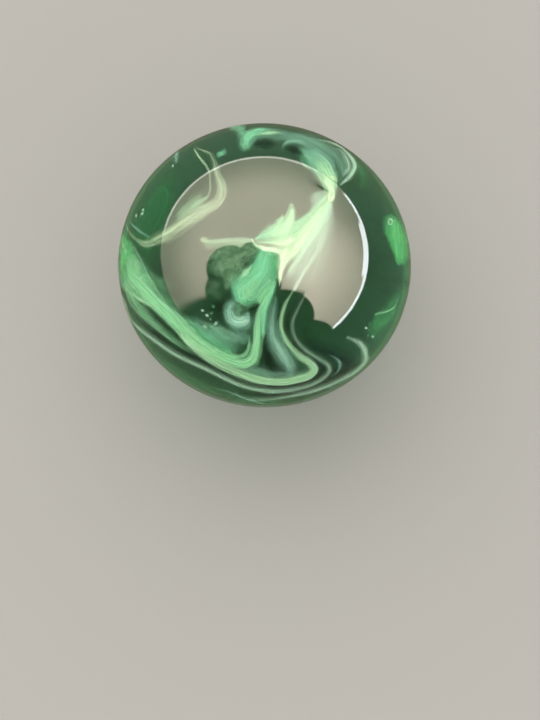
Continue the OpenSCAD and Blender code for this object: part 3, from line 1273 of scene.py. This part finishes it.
CROWN = SwirlPart("crown_loop", (
    Ribbon(Tone.SMOKE, ((-0.9, 6.5), (-0.8, 7.1), (0.0, 7.35), (1.0, 7.25), (2.0, 6.95), (2.9, 6.45),
                        (3.45, 5.8), (3.7, 5.0)),
           widths=(0.6, 1.0, 0.9, 0.9, 1.1, 1.4, 1.4, 0.9), depths=(0.9,),
           veil=(0.2, 0.5, 0.5, 0.4, 0.4, 0.5, 0.5, 0.5)),
    Ribbon(Tone.MINT, ((-1.1, 6.3), (-1.05, 6.85), (-0.8, 7.3), (-0.2, 7.5), (0.6, 7.5)),
           widths=(0.4, 0.6, 0.65, 0.5, 0.2), depths=(0.6,), veil=(0.1, 0.5, 0.7, 0.6, 0.1)),
    Ribbon(Tone.PALE, ((-0.55, 7.2), (0.2, 7.36), (1.1, 7.34)),
           widths=(0.12, 0.24, 0.12), depths=(0.4,), veil=(0.1, 0.55, 0.1)),
    Ribbon(Tone.SMOKE, ((1.2, 7.3), (2.4, 7.05), (3.4, 6.6), (4.1, 6.05), (4.4, 5.4), (4.2, 4.8)),
           widths=(0.3, 0.7, 0.9, 0.9, 0.8, 0.4), depths=(0.6,), veil=(0.1, 0.4, 0.4, 0.4, 0.4, 0.2)),
    Ribbon(Tone.THREAD,
           ((2.9, 7.0), (3.6, 6.85), (4.15, 6.62), (4.72, 6.1), (4.98, 5.55), (4.75, 5.0), (4.2, 4.5)),
           widths=(0.1, 0.2, 0.26, 0.26, 0.14), veil=(0.1, 0.4, 0.6, 0.5, 0.2), ridge=-0.3),
    Ribbon(Tone.THREAD, ((3.9, 6.5), (4.3, 6.3), (4.62, 5.8), (4.66, 5.4), (4.35, 4.95)),
           widths=(0.1, 0.2, 0.2, 0.1), veil=(0.1, 0.3, 0.3, 0.1)),
    Ribbon(Tone.MINT, ((1.9, 6.5), (2.6, 6.05), (3.15, 5.5), (3.5, 4.9), (3.68, 4.4)),
           widths=(0.5, 1.2, 1.5, 1.2, 0.6), depths=(0.8,), veil=(0.1, 0.3, 0.45, 0.5, 0.5), threads=3),
    Ribbon(Tone.SMOKE, ((2.0, 6.6), (2.7, 6.2), (3.2, 5.6), (3.45, 5.0)),
           widths=(0.4, 1.2, 1.5, 0.8), depths=(0.6,), veil=(0.1, 0.5, 0.7, 0.4), threads=2),
    Ribbon(Tone.PALE, ((2.8, 6.1), (3.15, 5.7), (3.4, 5.25), (3.6, 4.75), (3.7, 4.1)),
           widths=(0.6, 1.1, 1.1, 0.8, 0.45), depths=(0.5,), veil=(0.0, 0.4, 0.6, 0.8, 0.8), threads=3),
    Ribbon(Tone.CREAM, ((3.4, 4.95), (3.8, 4.88), (4.15, 4.68)),
           widths=(0.15, 0.32, 0.12), veil=(0.2, 0.7, 0.1)),
    Ribbon(Tone.CREAM, ((3.55, 4.7), (3.7, 4.25), (3.68, 3.85), (3.5, 3.4)),
           widths=(0.4, 0.5, 0.5, 0.3), depths=(0.4,), veil=(0.1, 0.7, 0.7, 0.1)),
    Ribbon(Tone.SMOKE, ((0.95, 6.4), (1.1, 6.75), (1.55, 6.92), (2.1, 6.8), (2.5, 6.45)),
           widths=(0.1, 0.22, 0.22, 0.1), depths=(0.45,), veil=(0.1, 0.6, 0.5, 0.1)),
    Ribbon(Tone.LEAF, ((4.6, 6.3), (5.3, 5.4), (5.5, 4.6), (5.2, 3.9)),
           widths=(0.4, 0.9, 0.9, 0.3), depths=(0.9,), veil=(0.0, 0.12, 0.12, 0.0)),
))
VEIL = SwirlPart("folded_veil", (
    Ribbon(Tone.CREAM, ((-4.0, 6.65), (-3.55, 6.42), (-3.05, 6.2), (-2.84, 5.75), (-2.7, 5.1), (-2.5, 4.5),
                        (-2.5, 3.95), (-2.8, 3.5), (-3.5, 3.1), (-4.4, 2.6), (-5.2, 2.05), (-5.9, 1.6),
                        (-6.6, 1.28), (-7.15, 1.5), (-7.55, 1.95), (-7.72, 2.4)),
           widths=(0.1, 0.16, 0.3, 0.6, 0.8, 0.8, 0.9, 0.8, 0.5, 0.2, 0.16, 0.1), depths=(0.5,),
           veil=(0.15, 0.2, 0.18, 0.2, 0.25, 0.28, 0.3, 0.3, 0.26, 0.2, 0.2, 0.12), ridge=-0.5),
    Ribbon(Tone.CREAM,
           ((-3.93, 6.5), (-3.71, 6.1), (-3.4, 5.7), (-3.1, 5.2), (-3.05, 4.6), (-3.1, 4.0), (-3.6, 3.4)),
           widths=(0.1, 0.14, 0.2, 0.24, 0.2), depths=(0.45,), veil=(0.25, 0.3, 0.22, 0.2, 0.0),
           ridge=-0.5),
    Ribbon(Tone.PALE, ((-3.0, 3.9), (-3.7, 3.5), (-4.5, 2.95), (-5.2, 2.4)),
           widths=(0.6, 1.0, 0.9, 0.4), depths=(0.8,), veil=(0.1, 0.25, 0.25, 0.0)),
    Ribbon(Tone.SMOKE, ((-7.5, 2.45), (-7.05, 1.98), (-6.5, 1.64), (-5.9, 1.55)),
           widths=(0.08, 0.16, 0.16, 0.08), depths=(0.4,), veil=(0.2, 0.6, 0.5, 0.1)),
))
# Milky veils at the sides, with painted glints and painted glow near the rims.
SIDES_AND_GLINTS = SwirlPart("side_veils", (
    Ribbon(Tone.CLOUD, ((-7.95, 0.35), (-7.55, -0.3), (-6.95, -1.0), (-6.25, -1.75), (-5.6, -2.45),
                        (-5.0, -3.05), (-4.4, -3.5)),
           widths=(1.3, 1.9, 1.9, 1.4, 1.0, 0.7, 0.4), depths=(0.9,),
           veil=(0.6, 1.1, 1.1, 1.0, 0.9, 0.9, 0.2), threads=2),
    Ribbon(Tone.CLOUD, ((-8.0, 0.5), (-7.7, -0.3), (-7.2, -1.0), (-6.6, -1.6), (-6.0, -2.2)),
           widths=(1.0, 1.6, 1.6, 1.2, 0.6), depths=(1.2,), veil=(0.5, 0.8, 0.8, 0.6, 0.1), threads=2),
    Ribbon(Tone.CLOUD, ((-7.3, 0.2), (-6.3, -0.85), (-5.4, -1.95), (-4.6, -2.85)),
           widths=(0.8, 1.4, 1.2, 0.6), depths=(1.1,), veil=(0.1, 0.35, 0.3, 0.1)),
    Ribbon(Tone.CLOUD, ((-6.0, -2.1), (-5.45, -2.6), (-4.85, -3.1), (-4.2, -3.65), (-3.4, -4.15)),
           widths=(0.2, 0.7, 0.8, 0.7, 0.3), depths=(0.6,), veil=(0.0, 0.8, 1.1, 0.8, 0.1), threads=1),
    Ribbon(Tone.PALE, ((-7.85, -1.15), (-7.3, -1.6), (-6.7, -1.95), (-6.1, -2.3), (-5.5, -2.75)),
           widths=(0.15, 0.26, 0.3, 0.3, 0.15), depths=(0.5,), veil=(0.2, 0.45, 0.5, 0.5, 0.1), ridge=0.5),
    # Painted highlight: a bright green streak along the left rim.
    Ribbon(Tone.LEAF, ((-7.95, 1.8), (-7.9, 0.9), (-7.85, 0.1), (-7.7, -0.8)),
           widths=(0.4, 0.9, 1.0, 0.5), depths=(0.45,), veil=(0.3, 0.9, 1.0, 0.3)),
    Ribbon(Tone.SMOKE, ((-4.8, 6.55), (-4.92, 6.15), (-4.88, 5.7)),
           widths=(0.2, 0.42, 0.3), depths=(0.4,), veil=(0.1, 0.8, 0.2)),
    Ribbon(Tone.MINT, ((-2.2, 6.5), (-2.42, 6.22), (-2.6, 5.9)),
           widths=(0.3, 0.5, 0.2), depths=(0.7,), veil=(0.1, 0.4, 0.0)),
    # Painted glow: two bright green layers along the right rim, for the light that the glass gathers there.
    *(
        Ribbon(Tone.LEAF, ((7.4, 2.5), (7.45, 2.0), (7.52, 1.35), (7.5, 0.7), (7.4, 0.1)),
               widths=(0.6, 1.1, 1.3, 1.0, 0.2), depths=(depth,), veil=(0.5, 1.0, 1.0, 1.0, 0.5), ridge=0.2)
        for depth in (0.3, 0.8)
    ),
    # Painted glint: a thin bright ring round the big seed bubble, for the light on its rim.
    Ribbon(Tone.THREAD,
           ((7.13, 2.44), (7.07, 2.58), (6.95, 2.6), (6.88, 2.46), (6.92, 2.32), (7.04, 2.29), (7.13, 2.4)),
           widths=(0.05,), depths=(0.2,), veil=(0.8, 1.3, 0.8, 0.5, 0.8, 1.2, 0.8)),
    Ribbon(Tone.LEAF, ((7.5, -1.6), (7.1, -2.6), (6.4, -3.4), (5.5, -4.1)),
           widths=(0.3, 0.9, 1.4, 0.8), depths=(0.7,), veil=(0.2, 0.3, 0.28, 0.0), ridge=0.5),
    Ribbon(Tone.BAND, ((5.9, -2.75), (6.45, -2.6), (6.98, -2.45), (7.27, -2.2), (7.48, -1.7)),
           widths=(0.06, 0.16, 0.18, 0.16, 0.06), depths=(0.4,), veil=(0.0, 0.4, 0.5, 0.4, 0.1), ridge=0.6),
    # Painted glints: short bright flecks for the glints of small bubbles and of the rim.
    *(
        Ribbon(Tone.THREAD, ((x, y), (x + 0.5 * along, y + 0.5 * up), (x + along, y + up)),
               widths=(0.05, 0.11, 0.05), depths=(0.3,), veil=(0.2, 0.8, 0.2))
        for x, y, along, up in (
            (-3.55, -2.45, 0.16, -0.1), (-3.3, -2.7, 0.2, -0.14), (-3.45, -3.35, 0.24, -0.12),
            (-2.85, -3.3, 0.26, 0.16), (-5.15, 5.5, 0.1, 0.08),
            (-7.2, 2.75, 0.12, 0.1), (-6.8, 3.05, 0.1, 0.12), (-7.75, 0.9, 0.05, -0.2),
            (-6.95, -0.6, 0.12, -0.16), (5.55, -3.45, 0.22, -0.06), (5.95, -3.95, 0.2, -0.02),
            (-7.9, 1.25, 0.04, -0.3), (-6.9, 2.85, 0.16, 0.1), (0.2, -7.05, 0.3, 0.0),
        )
    ),
))
FAR = SwirlPart("far_swirl", (
    Ribbon(Tone.MINT, (),
           beyond=((7.9, 3.4), (7.0, 1.5), (5.3, -0.8), (2.7, -2.8), (-0.6, -4.0), (-3.6, -4.2)),
           widths=(1.0, 2.0, 2.6, 2.2, 1.4, 0.4), depths=(0.5, 0.9, 0.4),
           veil=(0.1, 0.7, 0.9, 0.9, 0.8, 0.5), ridge=0.3, threads=10),
    Ribbon(Tone.PALE, (),
           beyond=((7.9, 1.2), (6.4, -1.2), (3.7, -3.4), (0.6, -4.7), (-2.0, -4.8), (-3.6, -4.3)),
           widths=(0.2, 0.6, 0.9, 0.7, 0.4, 0.2), veil=(0.2, 0.8, 0.9, 1.0, 0.9, 0.5),
           ridge=-0.3, threads=6),
    Ribbon(Tone.SMOKE, (), beyond=((7.4, -2.4), (5.2, -4.5), (1.8, -5.8), (-1.4, -5.7), (-3.5, -4.6)),
           widths=(0.5, 1.4, 1.8, 1.2, 0.3), depths=(0.4,), veil=(0.3, 0.8, 1.0, 0.9, 0.5), threads=8),
    Ribbon(Tone.LEAF, (), beyond=((6.4, -4.6), (3.8, -6.2), (0.4, -7.0), (-2.2, -6.3), (-3.8, -4.9)),
           widths=(0.5, 1.6, 1.8, 1.4, 0.4), depths=(0.7,), veil=(0.1, 0.5, 0.6, 0.6, 0.2), threads=4),
    Ribbon(Tone.PALE, (), beyond=((5.9, -5.2), (3.2, -6.6), (0.2, -7.3), (-2.4, -6.6), (-3.9, -4.9)),
           widths=(0.1, 0.3, 0.4, 0.35, 0.15), veil=(0.1, 0.7, 0.8, 0.8, 0.4), threads=3),
    Ribbon(Tone.MINT, ((-1.15, 7.3),),
           beyond=((-1.9, 7.0), (-3.4, 5.3), (-4.7, 3.0), (-5.2, 0.4), (-4.8, -1.9), (-4.0, -3.8)),
           widths=(0.5, 1.4, 2.2, 2.4, 1.6, 0.4), depths=(0.5, 0.9, 0.4),
           veil=(0.3, 0.7, 0.9, 0.9, 0.9, 0.5), ridge=-0.4, threads=10),
    Ribbon(Tone.PALE, (),
           beyond=((-0.6, 7.7), (-2.3, 6.6), (-3.9, 4.7), (-4.8, 2.2), (-4.9, -0.4), (-4.1, -2.9)),
           widths=(0.1, 0.5, 0.7, 0.6, 0.5, 0.2), veil=(0.1, 0.7, 0.9, 0.9, 0.7, 0.4),
           threads=5),
    Ribbon(Tone.SMOKE, ((-4.7, 6.5),),
           beyond=((-5.4, 5.2), (-6.6, 3.4), (-6.9, 1.2), (-6.3, -1.0), (-5.0, -2.9), (-4.0, -4.0)),
           widths=(0.3, 0.7, 1.0, 1.1, 0.8, 0.2), veil=(0.4, 0.7, 0.8, 0.9, 0.8, 0.5),
           threads=6),
    Ribbon(Tone.MINT, (), beyond=((0.8, 7.7), (-0.3, 6.0), (-1.5, 4.2), (-2.5, 2.6), (-3.4, 0.8),
                                  (-4.0, -1.2), (-4.0, -3.2)),
           widths=(0.6, 1.8, 2.0, 1.4, 1.2, 1.0, 0.4), depths=(1.2,),
           veil=(0.0, 0.4, 0.5, 0.4, 0.5, 0.5, 0.3), threads=8),
    Ribbon(Tone.PALE, (), beyond=((1.4, 7.6), (2.9, 5.9), (3.8, 4.0), (3.4, 2.6), (2.3, 2.7), (1.2, 4.2),
                                  (0.4, 6.0), (-0.6, 7.4)),
           widths=(0.2, 0.5, 0.7, 0.7, 0.6, 0.6, 0.5, 0.2), depths=(0.4,),
           veil=(0.1, 0.8, 0.9, 1.0, 1.0, 0.9, 0.6, 0.1), ridge=0.4, threads=5),
    Ribbon(Tone.SMOKE, (),
           beyond=((2.4, 7.4), (3.9, 5.7), (4.8, 3.7), (4.3, 1.9), (2.9, 1.8), (1.8, 3.2), (0.9, 5.2)),
           widths=(0.2, 0.5, 0.7, 0.7, 0.5, 0.2), veil=(0.1, 0.8, 0.9, 0.8, 0.8, 0.1),
           threads=4),
    Ribbon(Tone.MINT, (),
           beyond=((2.0, 7.5), (3.4, 5.7), (4.1, 3.9), (3.8, 2.4), (2.8, 2.3), (1.6, 3.8), (0.6, 5.6)),
           widths=(0.4, 1.1, 1.3, 1.2, 1.0, 0.4), depths=(0.9,), veil=(0.1, 0.6, 0.7, 0.7, 0.6, 0.1),
           threads=4),
    Ribbon(Tone.LEAF, ((7.7, 1.4),), beyond=((7.8, 1.7), (7.0, 3.1), (6.1, 4.3), (4.8, 5.6), (3.2, 6.9)),
           widths=(2.6, 2.9, 2.5, 1.6, 0.5), depths=(0.6,), veil=(0.6, 0.8, 0.7, 0.6, 0.0), threads=5),
    Ribbon(Tone.PALE, (), beyond=((7.6, 2.4), (6.9, 3.6), (5.8, 4.9), (4.4, 6.2), (3.0, 7.3)),
           widths=(0.2, 0.6, 0.8, 0.5, 0.1), veil=(0.1, 0.6, 0.8, 0.6, 0.1), threads=4),
    Ribbon(Tone.PALE, (), beyond=((-3.1, 7.2), (-4.2, 6.1), (-4.7, 4.6), (-4.3, 3.2), (-3.2, 2.7),
                                  (-2.4, 3.4), (-2.5, 4.8), (-3.2, 6.1)),
           widths=(0.2, 0.6, 0.8, 0.8, 0.7, 0.6, 0.5, 0.2), depths=(0.4,),
           veil=(0.1, 0.8, 0.9, 1.0, 1.0, 0.9, 0.6, 0.1), ridge=0.4, threads=5),
    Ribbon(Tone.MINT, (),
           beyond=((-3.4, 7.0), (-4.6, 5.5), (-4.9, 3.9), (-4.0, 2.6), (-2.9, 2.9), (-2.7, 4.4)),
           widths=(0.4, 1.1, 1.4, 1.2, 0.9, 0.3), depths=(0.8,), veil=(0.1, 0.6, 0.8, 0.8, 0.6, 0.1),
           threads=4),
    Ribbon(Tone.SMOKE, (),
           beyond=((6.9, 4.0), (6.0, 2.4), (4.7, 0.6), (3.5, -0.9), (2.6, -2.0), (0.6, -3.1), (-1.6, -3.5)),
           widths=(0.3, 0.8, 1.1, 1.0, 0.7, 0.5, 0.2), depths=(0.5,),
           veil=(0.1, 0.6, 0.7, 0.7, 0.7, 0.5, 0.2), threads=6),
    Ribbon(Tone.MINT, (),
           beyond=((-6.2, -5.2), (-4.0, -6.9), (-1.2, -7.55), (1.6, -7.2), (3.9, -5.9), (5.2, -4.0)),
           widths=(0.3, 1.2, 2.0, 2.2, 1.6, 0.4), depths=(0.4, 0.9, 0.5),
           veil=(0.1, 0.6, 0.8, 0.8, 0.7, 0.1), ridge=0.4, threads=8),
    Ribbon(Tone.PALE, (),
           beyond=((-5.6, -5.8), (-3.2, -7.3), (-0.4, -7.75), (2.2, -7.3), (4.3, -6.1), (5.8, -4.3)),
           widths=(0.1, 0.4, 0.6, 0.5, 0.4, 0.1), veil=(0.1, 0.6, 0.9, 0.8, 0.6, 0.1),
           threads=3),
    # Painted shade: near-black bands on the far half, which darken the glass seen through the ball.
    Ribbon(Tone.DEEP, (), beyond=((-5.2, -5.2), (-2.8, -6.6), (-0.2, -6.9), (2.3, -6.2), (4.2, -4.8)),
           widths=(0.2, 0.6, 0.7, 0.6, 0.2), depths=(0.8,), veil=(0.0, 0.8, 0.9, 0.8, 0.0)),
    Ribbon(Tone.DEEP, (), beyond=((7.6, -0.4), (5.7, -2.9), (2.6, -4.7), (-0.6, -5.3), (-3.0, -4.7)),
           widths=(0.4, 0.9, 1.0, 0.7, 0.2), depths=(0.8,), veil=(0.0, 0.9, 1.0, 1.0, 0.3)),
    Ribbon(Tone.DEEP, (), beyond=((-0.2, 7.5), (-1.3, 5.6), (-2.6, 3.7), (-3.6, 1.6), (-4.2, -0.8)),
           widths=(0.2, 0.9, 1.0, 0.8, 0.2), depths=(0.9,), veil=(0.0, 0.9, 0.9, 0.8, 0.0)),
    Ribbon(Tone.DEEP, (), beyond=((-4.6, 6.0), (-5.8, 4.0), (-6.1, 1.6), (-5.7, -0.6), (-4.8, -2.4)),
           widths=(0.2, 0.7, 0.8, 0.6, 0.2), depths=(0.8,), veil=(0.0, 0.8, 0.9, 0.8, 0.0)),
), fineness=FAR_FINENESS)
PARTS = (FAN, MASS, FALLING, SHADE_BANDS, CROWN, VEIL, SIDES_AND_GLINTS, FAR)


# ---------------------------------------------------------------- the studio


@dataclass(frozen=True)
class Patch:
    """A round patch of the light tent, placed where the main view sees it in the ball.

    Attributes:
        right: Its middle, right of the ball's, as a share of the ball's radius.
        above: Its middle, above the ball's, as a share of the ball's radius.
        reach_deg: Its radius, as an angle from the ball's centre.
    """

    right: float
    above: float
    reach_deg: float

    def mask(self, graph: Graph, way: Socket, eye: Eye) -> Socket:
        """Where the patch is, as 1 within it and 0 outside.

        Args:
            graph: The world's nodes.
            way: The direction that the light comes from.
            eye: The main view.

        Returns:
            The mask.
        """
        side = math.hypot(self.right, self.above)
        turn = 2 * math.asin(side)
        toward = (eye.right * self.right + eye.away * self.above) / side
        middle = eye.pole * math.cos(turn) + toward * math.sin(turn)
        low, high = (math.cos(math.radians(self.reach_deg + soft)) for soft in (1.0, -1.0))
        return graph.step(graph.dot(way, middle), low, high)


OPENINGS = (
    Patch(-0.22, -0.03, 19.0),
    Patch(-0.28, -0.18, 13.0),
    Patch(-0.14, -0.16, 11.0),
    Patch(-0.012, -0.006, 12.6),
    Patch(0.037, 0.035, 7.5),
    Patch(-0.09, 0.085, 8.5),
    Patch(-0.02, -0.12, 13.5),
    Patch(0.04, -0.13, 7.5),
    Patch(-0.15, -0.54, 40.0),
    Patch(0.11, -0.36, 23.0),
    Patch(0.2, -0.575, 26.0),
)
CARD = Patch(0.46, -0.31, 30.0)


@dataclass(frozen=True)
class Strip:
    """A bright strip along the tent's lower edge, such as a window's light.

    Attributes:
        right: How far its middle lies towards the picture's right.
        level: How far its middle lies level and away from the camera.
        edge: The cosines from its middle at which it starts and is full.
        top: How high it reaches, as a sine.
        share: Its brightness, as a share of the brightest.
        fade: How far it fades out above its top, as a sine.
    """

    right: float
    level: float
    edge: tuple[float, float]
    top: float
    share: float = 1.0
    fade: float = 0.02

    def mask(self, graph: Graph, way: Socket, height: Socket, eye: Eye) -> Socket:
        """Where the strip is, as its own brightness within it and 0 outside.

        Args:
            graph: The world's nodes.
            way: The direction that the light comes from.
            height: The sine of its height.
            eye: The main view.

        Returns:
            The mask.
        """
        middle = (eye.right * self.right + eye.level * self.level).normalized()
        along = graph.step(graph.dot(way, middle), *self.edge)
        low = graph.step(height, self.top + self.fade, self.top)
        return graph.times(graph.times(along, low), self.share)


STRIPS = (
    Strip(1.0, 0.15, (0.94, 0.96), 0.155),
    Strip(1.0, -0.2, (0.55, 0.6), 0.105),
    Strip(-0.4, 1.0, (0.6, 0.75), 0.1, share=0.5),
)

# Strengths of the light, then the floor's colour and radius in metres, and the sensor's width in mm.
STRIP_GLOW = 12.0
TENT_GLOW = 7.5
GAP_GLOW = 0.18
SOFT_GLOW = 2.2
OVERHEAD_DIP = -0.9
KEY_GLOW = 2.0
HORIZON_GLOW = 2.2
BACKDROP_GLOW, BACKDROP_RISE = 0.54, 0.75
FLOOR_PAINT = (0.25, 0.242, 0.23, 1)
FLOOR_REACH = 1.3
SENSOR = 36.0


@dataclass(frozen=True)
class Studio:
    """The plain pale floor, the soft light and the camera.

    Attributes:
        ball: The ball's form.
        eye: The main view.
    """

    ball: Ball
    eye: Eye

    def build(self) -> None:
        """Builds the whole studio."""
        self.floor()
        self.camera()
        self.light()

    def floor(self) -> None:
        """A plain pale floor that the ball rests on."""
        shell = bmesh.new()
        bmesh.ops.create_circle(shell, cap_ends=True, segments=96, radius=FLOOR_REACH)
        mesh = bpy.data.meshes.new("floor")
        shell.to_mesh(mesh)
        shell.free()
        floor = bpy.data.objects.new("floor", mesh)
        floor.location = (0, 0, self.ball.centre.z - self.ball.half[2])
        bpy.context.scene.collection.objects.link(floor)
        paint, graph, shader = new_material("pale_floor")
        graph.fill(shader, Base_Color=FLOOR_PAINT, Roughness=0.8, Specular_IOR_Level=0.0)
        mesh.materials.append(paint)
        floor.visible_glossy = False

    def camera(self) -> None:
        """The camera at the main view's height, aimed so that the ball stands above the middle."""
        eye = self.eye
        data = bpy.data.cameras.new("camera")
        camera = bpy.data.objects.new("camera", data)
        bpy.context.scene.collection.objects.link(camera)
        data.lens, data.sensor_width = eye.lens, SENSOR
        data.clip_start, data.clip_end = 0.001, 10.0
        camera.location = self.ball.centre + eye.pole * eye.far
        across, above = (share * SENSOR / eye.lens for share in eye.aim)
        base = Matrix((eye.right, eye.away, eye.pole)).transposed()
        turn = Matrix.Rotation(-math.atan(above), 3, "X") @ Matrix.Rotation(math.atan(across), 3, "Y")
        camera.rotation_euler = (base @ turn).to_euler()
        bpy.context.scene.camera = camera

    def light(self) -> None:
        """A pale backdrop, soft light from all round, and a light tent that shows in the gloss."""
        world = bpy.data.worlds.new("studio")
        bpy.context.scene.world = world
        world.use_nodes = True
        graph = Graph(world.node_tree)
        way = graph.add("TexCoord").outputs["Generated"]
        height = graph.dot(way, Vector((0, 0, 1)))
        path = graph.add("LightPath").outputs
        rise = graph.plus(graph.step(height, 0.0, 0.9), BACKDROP_RISE, BACKDROP_GLOW)
        plain = graph.add("Background", Color=(1.0, 0.95, 0.86, 1.0), Strength=rise).outputs[0]
        clear = graph.join(path["Is Reflection Ray"], plain, self.tent(graph, way, height))
        dull = graph.maths("GREATER_THAN", path["Diffuse Depth"], 0.5)
        light = graph.join(dull, clear, self.soft(graph, way, height))
        graph.feed(light, world.node_tree.nodes["World Output"].inputs["Surface"])

    def soft(self, graph: Graph, way: Socket, height: Socket) -> Socket:
        """The light that falls on dull surfaces: from all round, from the horizon and from behind.

        Args:
            graph: The world's nodes.
            way: The direction that the light comes from.
            height: The sine of its height.

        Returns:
            The light.
        """
        eye = self.eye
        behind = (eye.away + eye.pole * 0.5 - eye.right * 0.3).normalized()
        glow = graph.plus(graph.step(graph.dot(way, eye.pole), 0.75, 0.95), OVERHEAD_DIP, SOFT_GLOW)
        glow = graph.plus(graph.step(graph.dot(way, behind), 0.5, 0.95), KEY_GLOW, glow)
        glow = graph.plus(graph.step(height, 0.5, 0.05), HORIZON_GLOW, glow)
        glow = graph.times(glow, graph.step(height, -0.3, 0.1))
        return graph.add("Background", Color=(1.0, 0.98, 0.94, 1.0), Strength=glow).outputs[0]

    def tent(self, graph: Graph, way: Socket, height: Socket) -> Socket:
        """The light tent that the gloss shows, with its openings, its card and its bright strips.

        Args:
            graph: The world's nodes.
            way: The direction that the light comes from.
            height: The sine of its height.

        Returns:
            The tent's light.
        """
        eye = self.eye
        wall = graph.step(graph.dot(way, -eye.level), 0.55, 0.45)
        wall = graph.maths("MAXIMUM", wall, CARD.mask(graph, way, eye))
        cloth = graph.times(graph.step(height, 0.06, 0.09), wall)
        for opening in OPENINGS:
            cloth = graph.times(cloth, graph.maths("SUBTRACT", 1.0, opening.mask(graph, way, eye)))
        bright = 0.0
        for strip in STRIPS:
            bright = graph.maths("MAXIMUM", bright, strip.mask(graph, way, height, eye))
        tint = graph.blend(bright, (1.0, 0.86, 0.70), (0.94, 0.98, 1.0))
        sunlit = (eye.right - eye.away * 0.35 + eye.pole * 0.7).normalized()
        even = graph.plus(graph.step(height, 0.1, 0.75), TENT_GLOW * 0.65, TENT_GLOW * 0.35)
        even = graph.plus(graph.step(graph.dot(way, sunlit), 0.6, 0.98), TENT_GLOW * 0.45, even)
        glow = graph.times(cloth, graph.plus(bright, STRIP_GLOW, even))
        glow = graph.maths("ADD", glow, GAP_GLOW)
        return graph.add("Background", Color=tint, Strength=glow).outputs[0]


def main() -> None:
    """Builds the marble and its studio, piece by piece."""
    logging.basicConfig(level=logging.INFO, format="%(name)s: %(message)s")
    ball, eye = Ball.from_frame(), Eye()
    body = GlassBody(ball).build(ClearGlass().build())
    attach(body, BODY)
    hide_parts(NODE)
    LOG.info("%s: %d faces", body.name, len(body.data.polygons))
    streaks = streak_group()
    finishes = {milk.tone: milk.build(streaks) for milk in TONES}
    for part in PARTS:
        piece = part.build(ball, eye, finishes)
        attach(piece, BODY)
        LOG.info("%s: %d faces", piece.name, len(piece.data.polygons))
    Studio(ball, eye).build()
    bpy.context.scene.view_settings.view_transform = "Standard"
    bpy.context.scene.cycles.transparent_max_bounces = 64


if __name__ == "__main__":
    main()
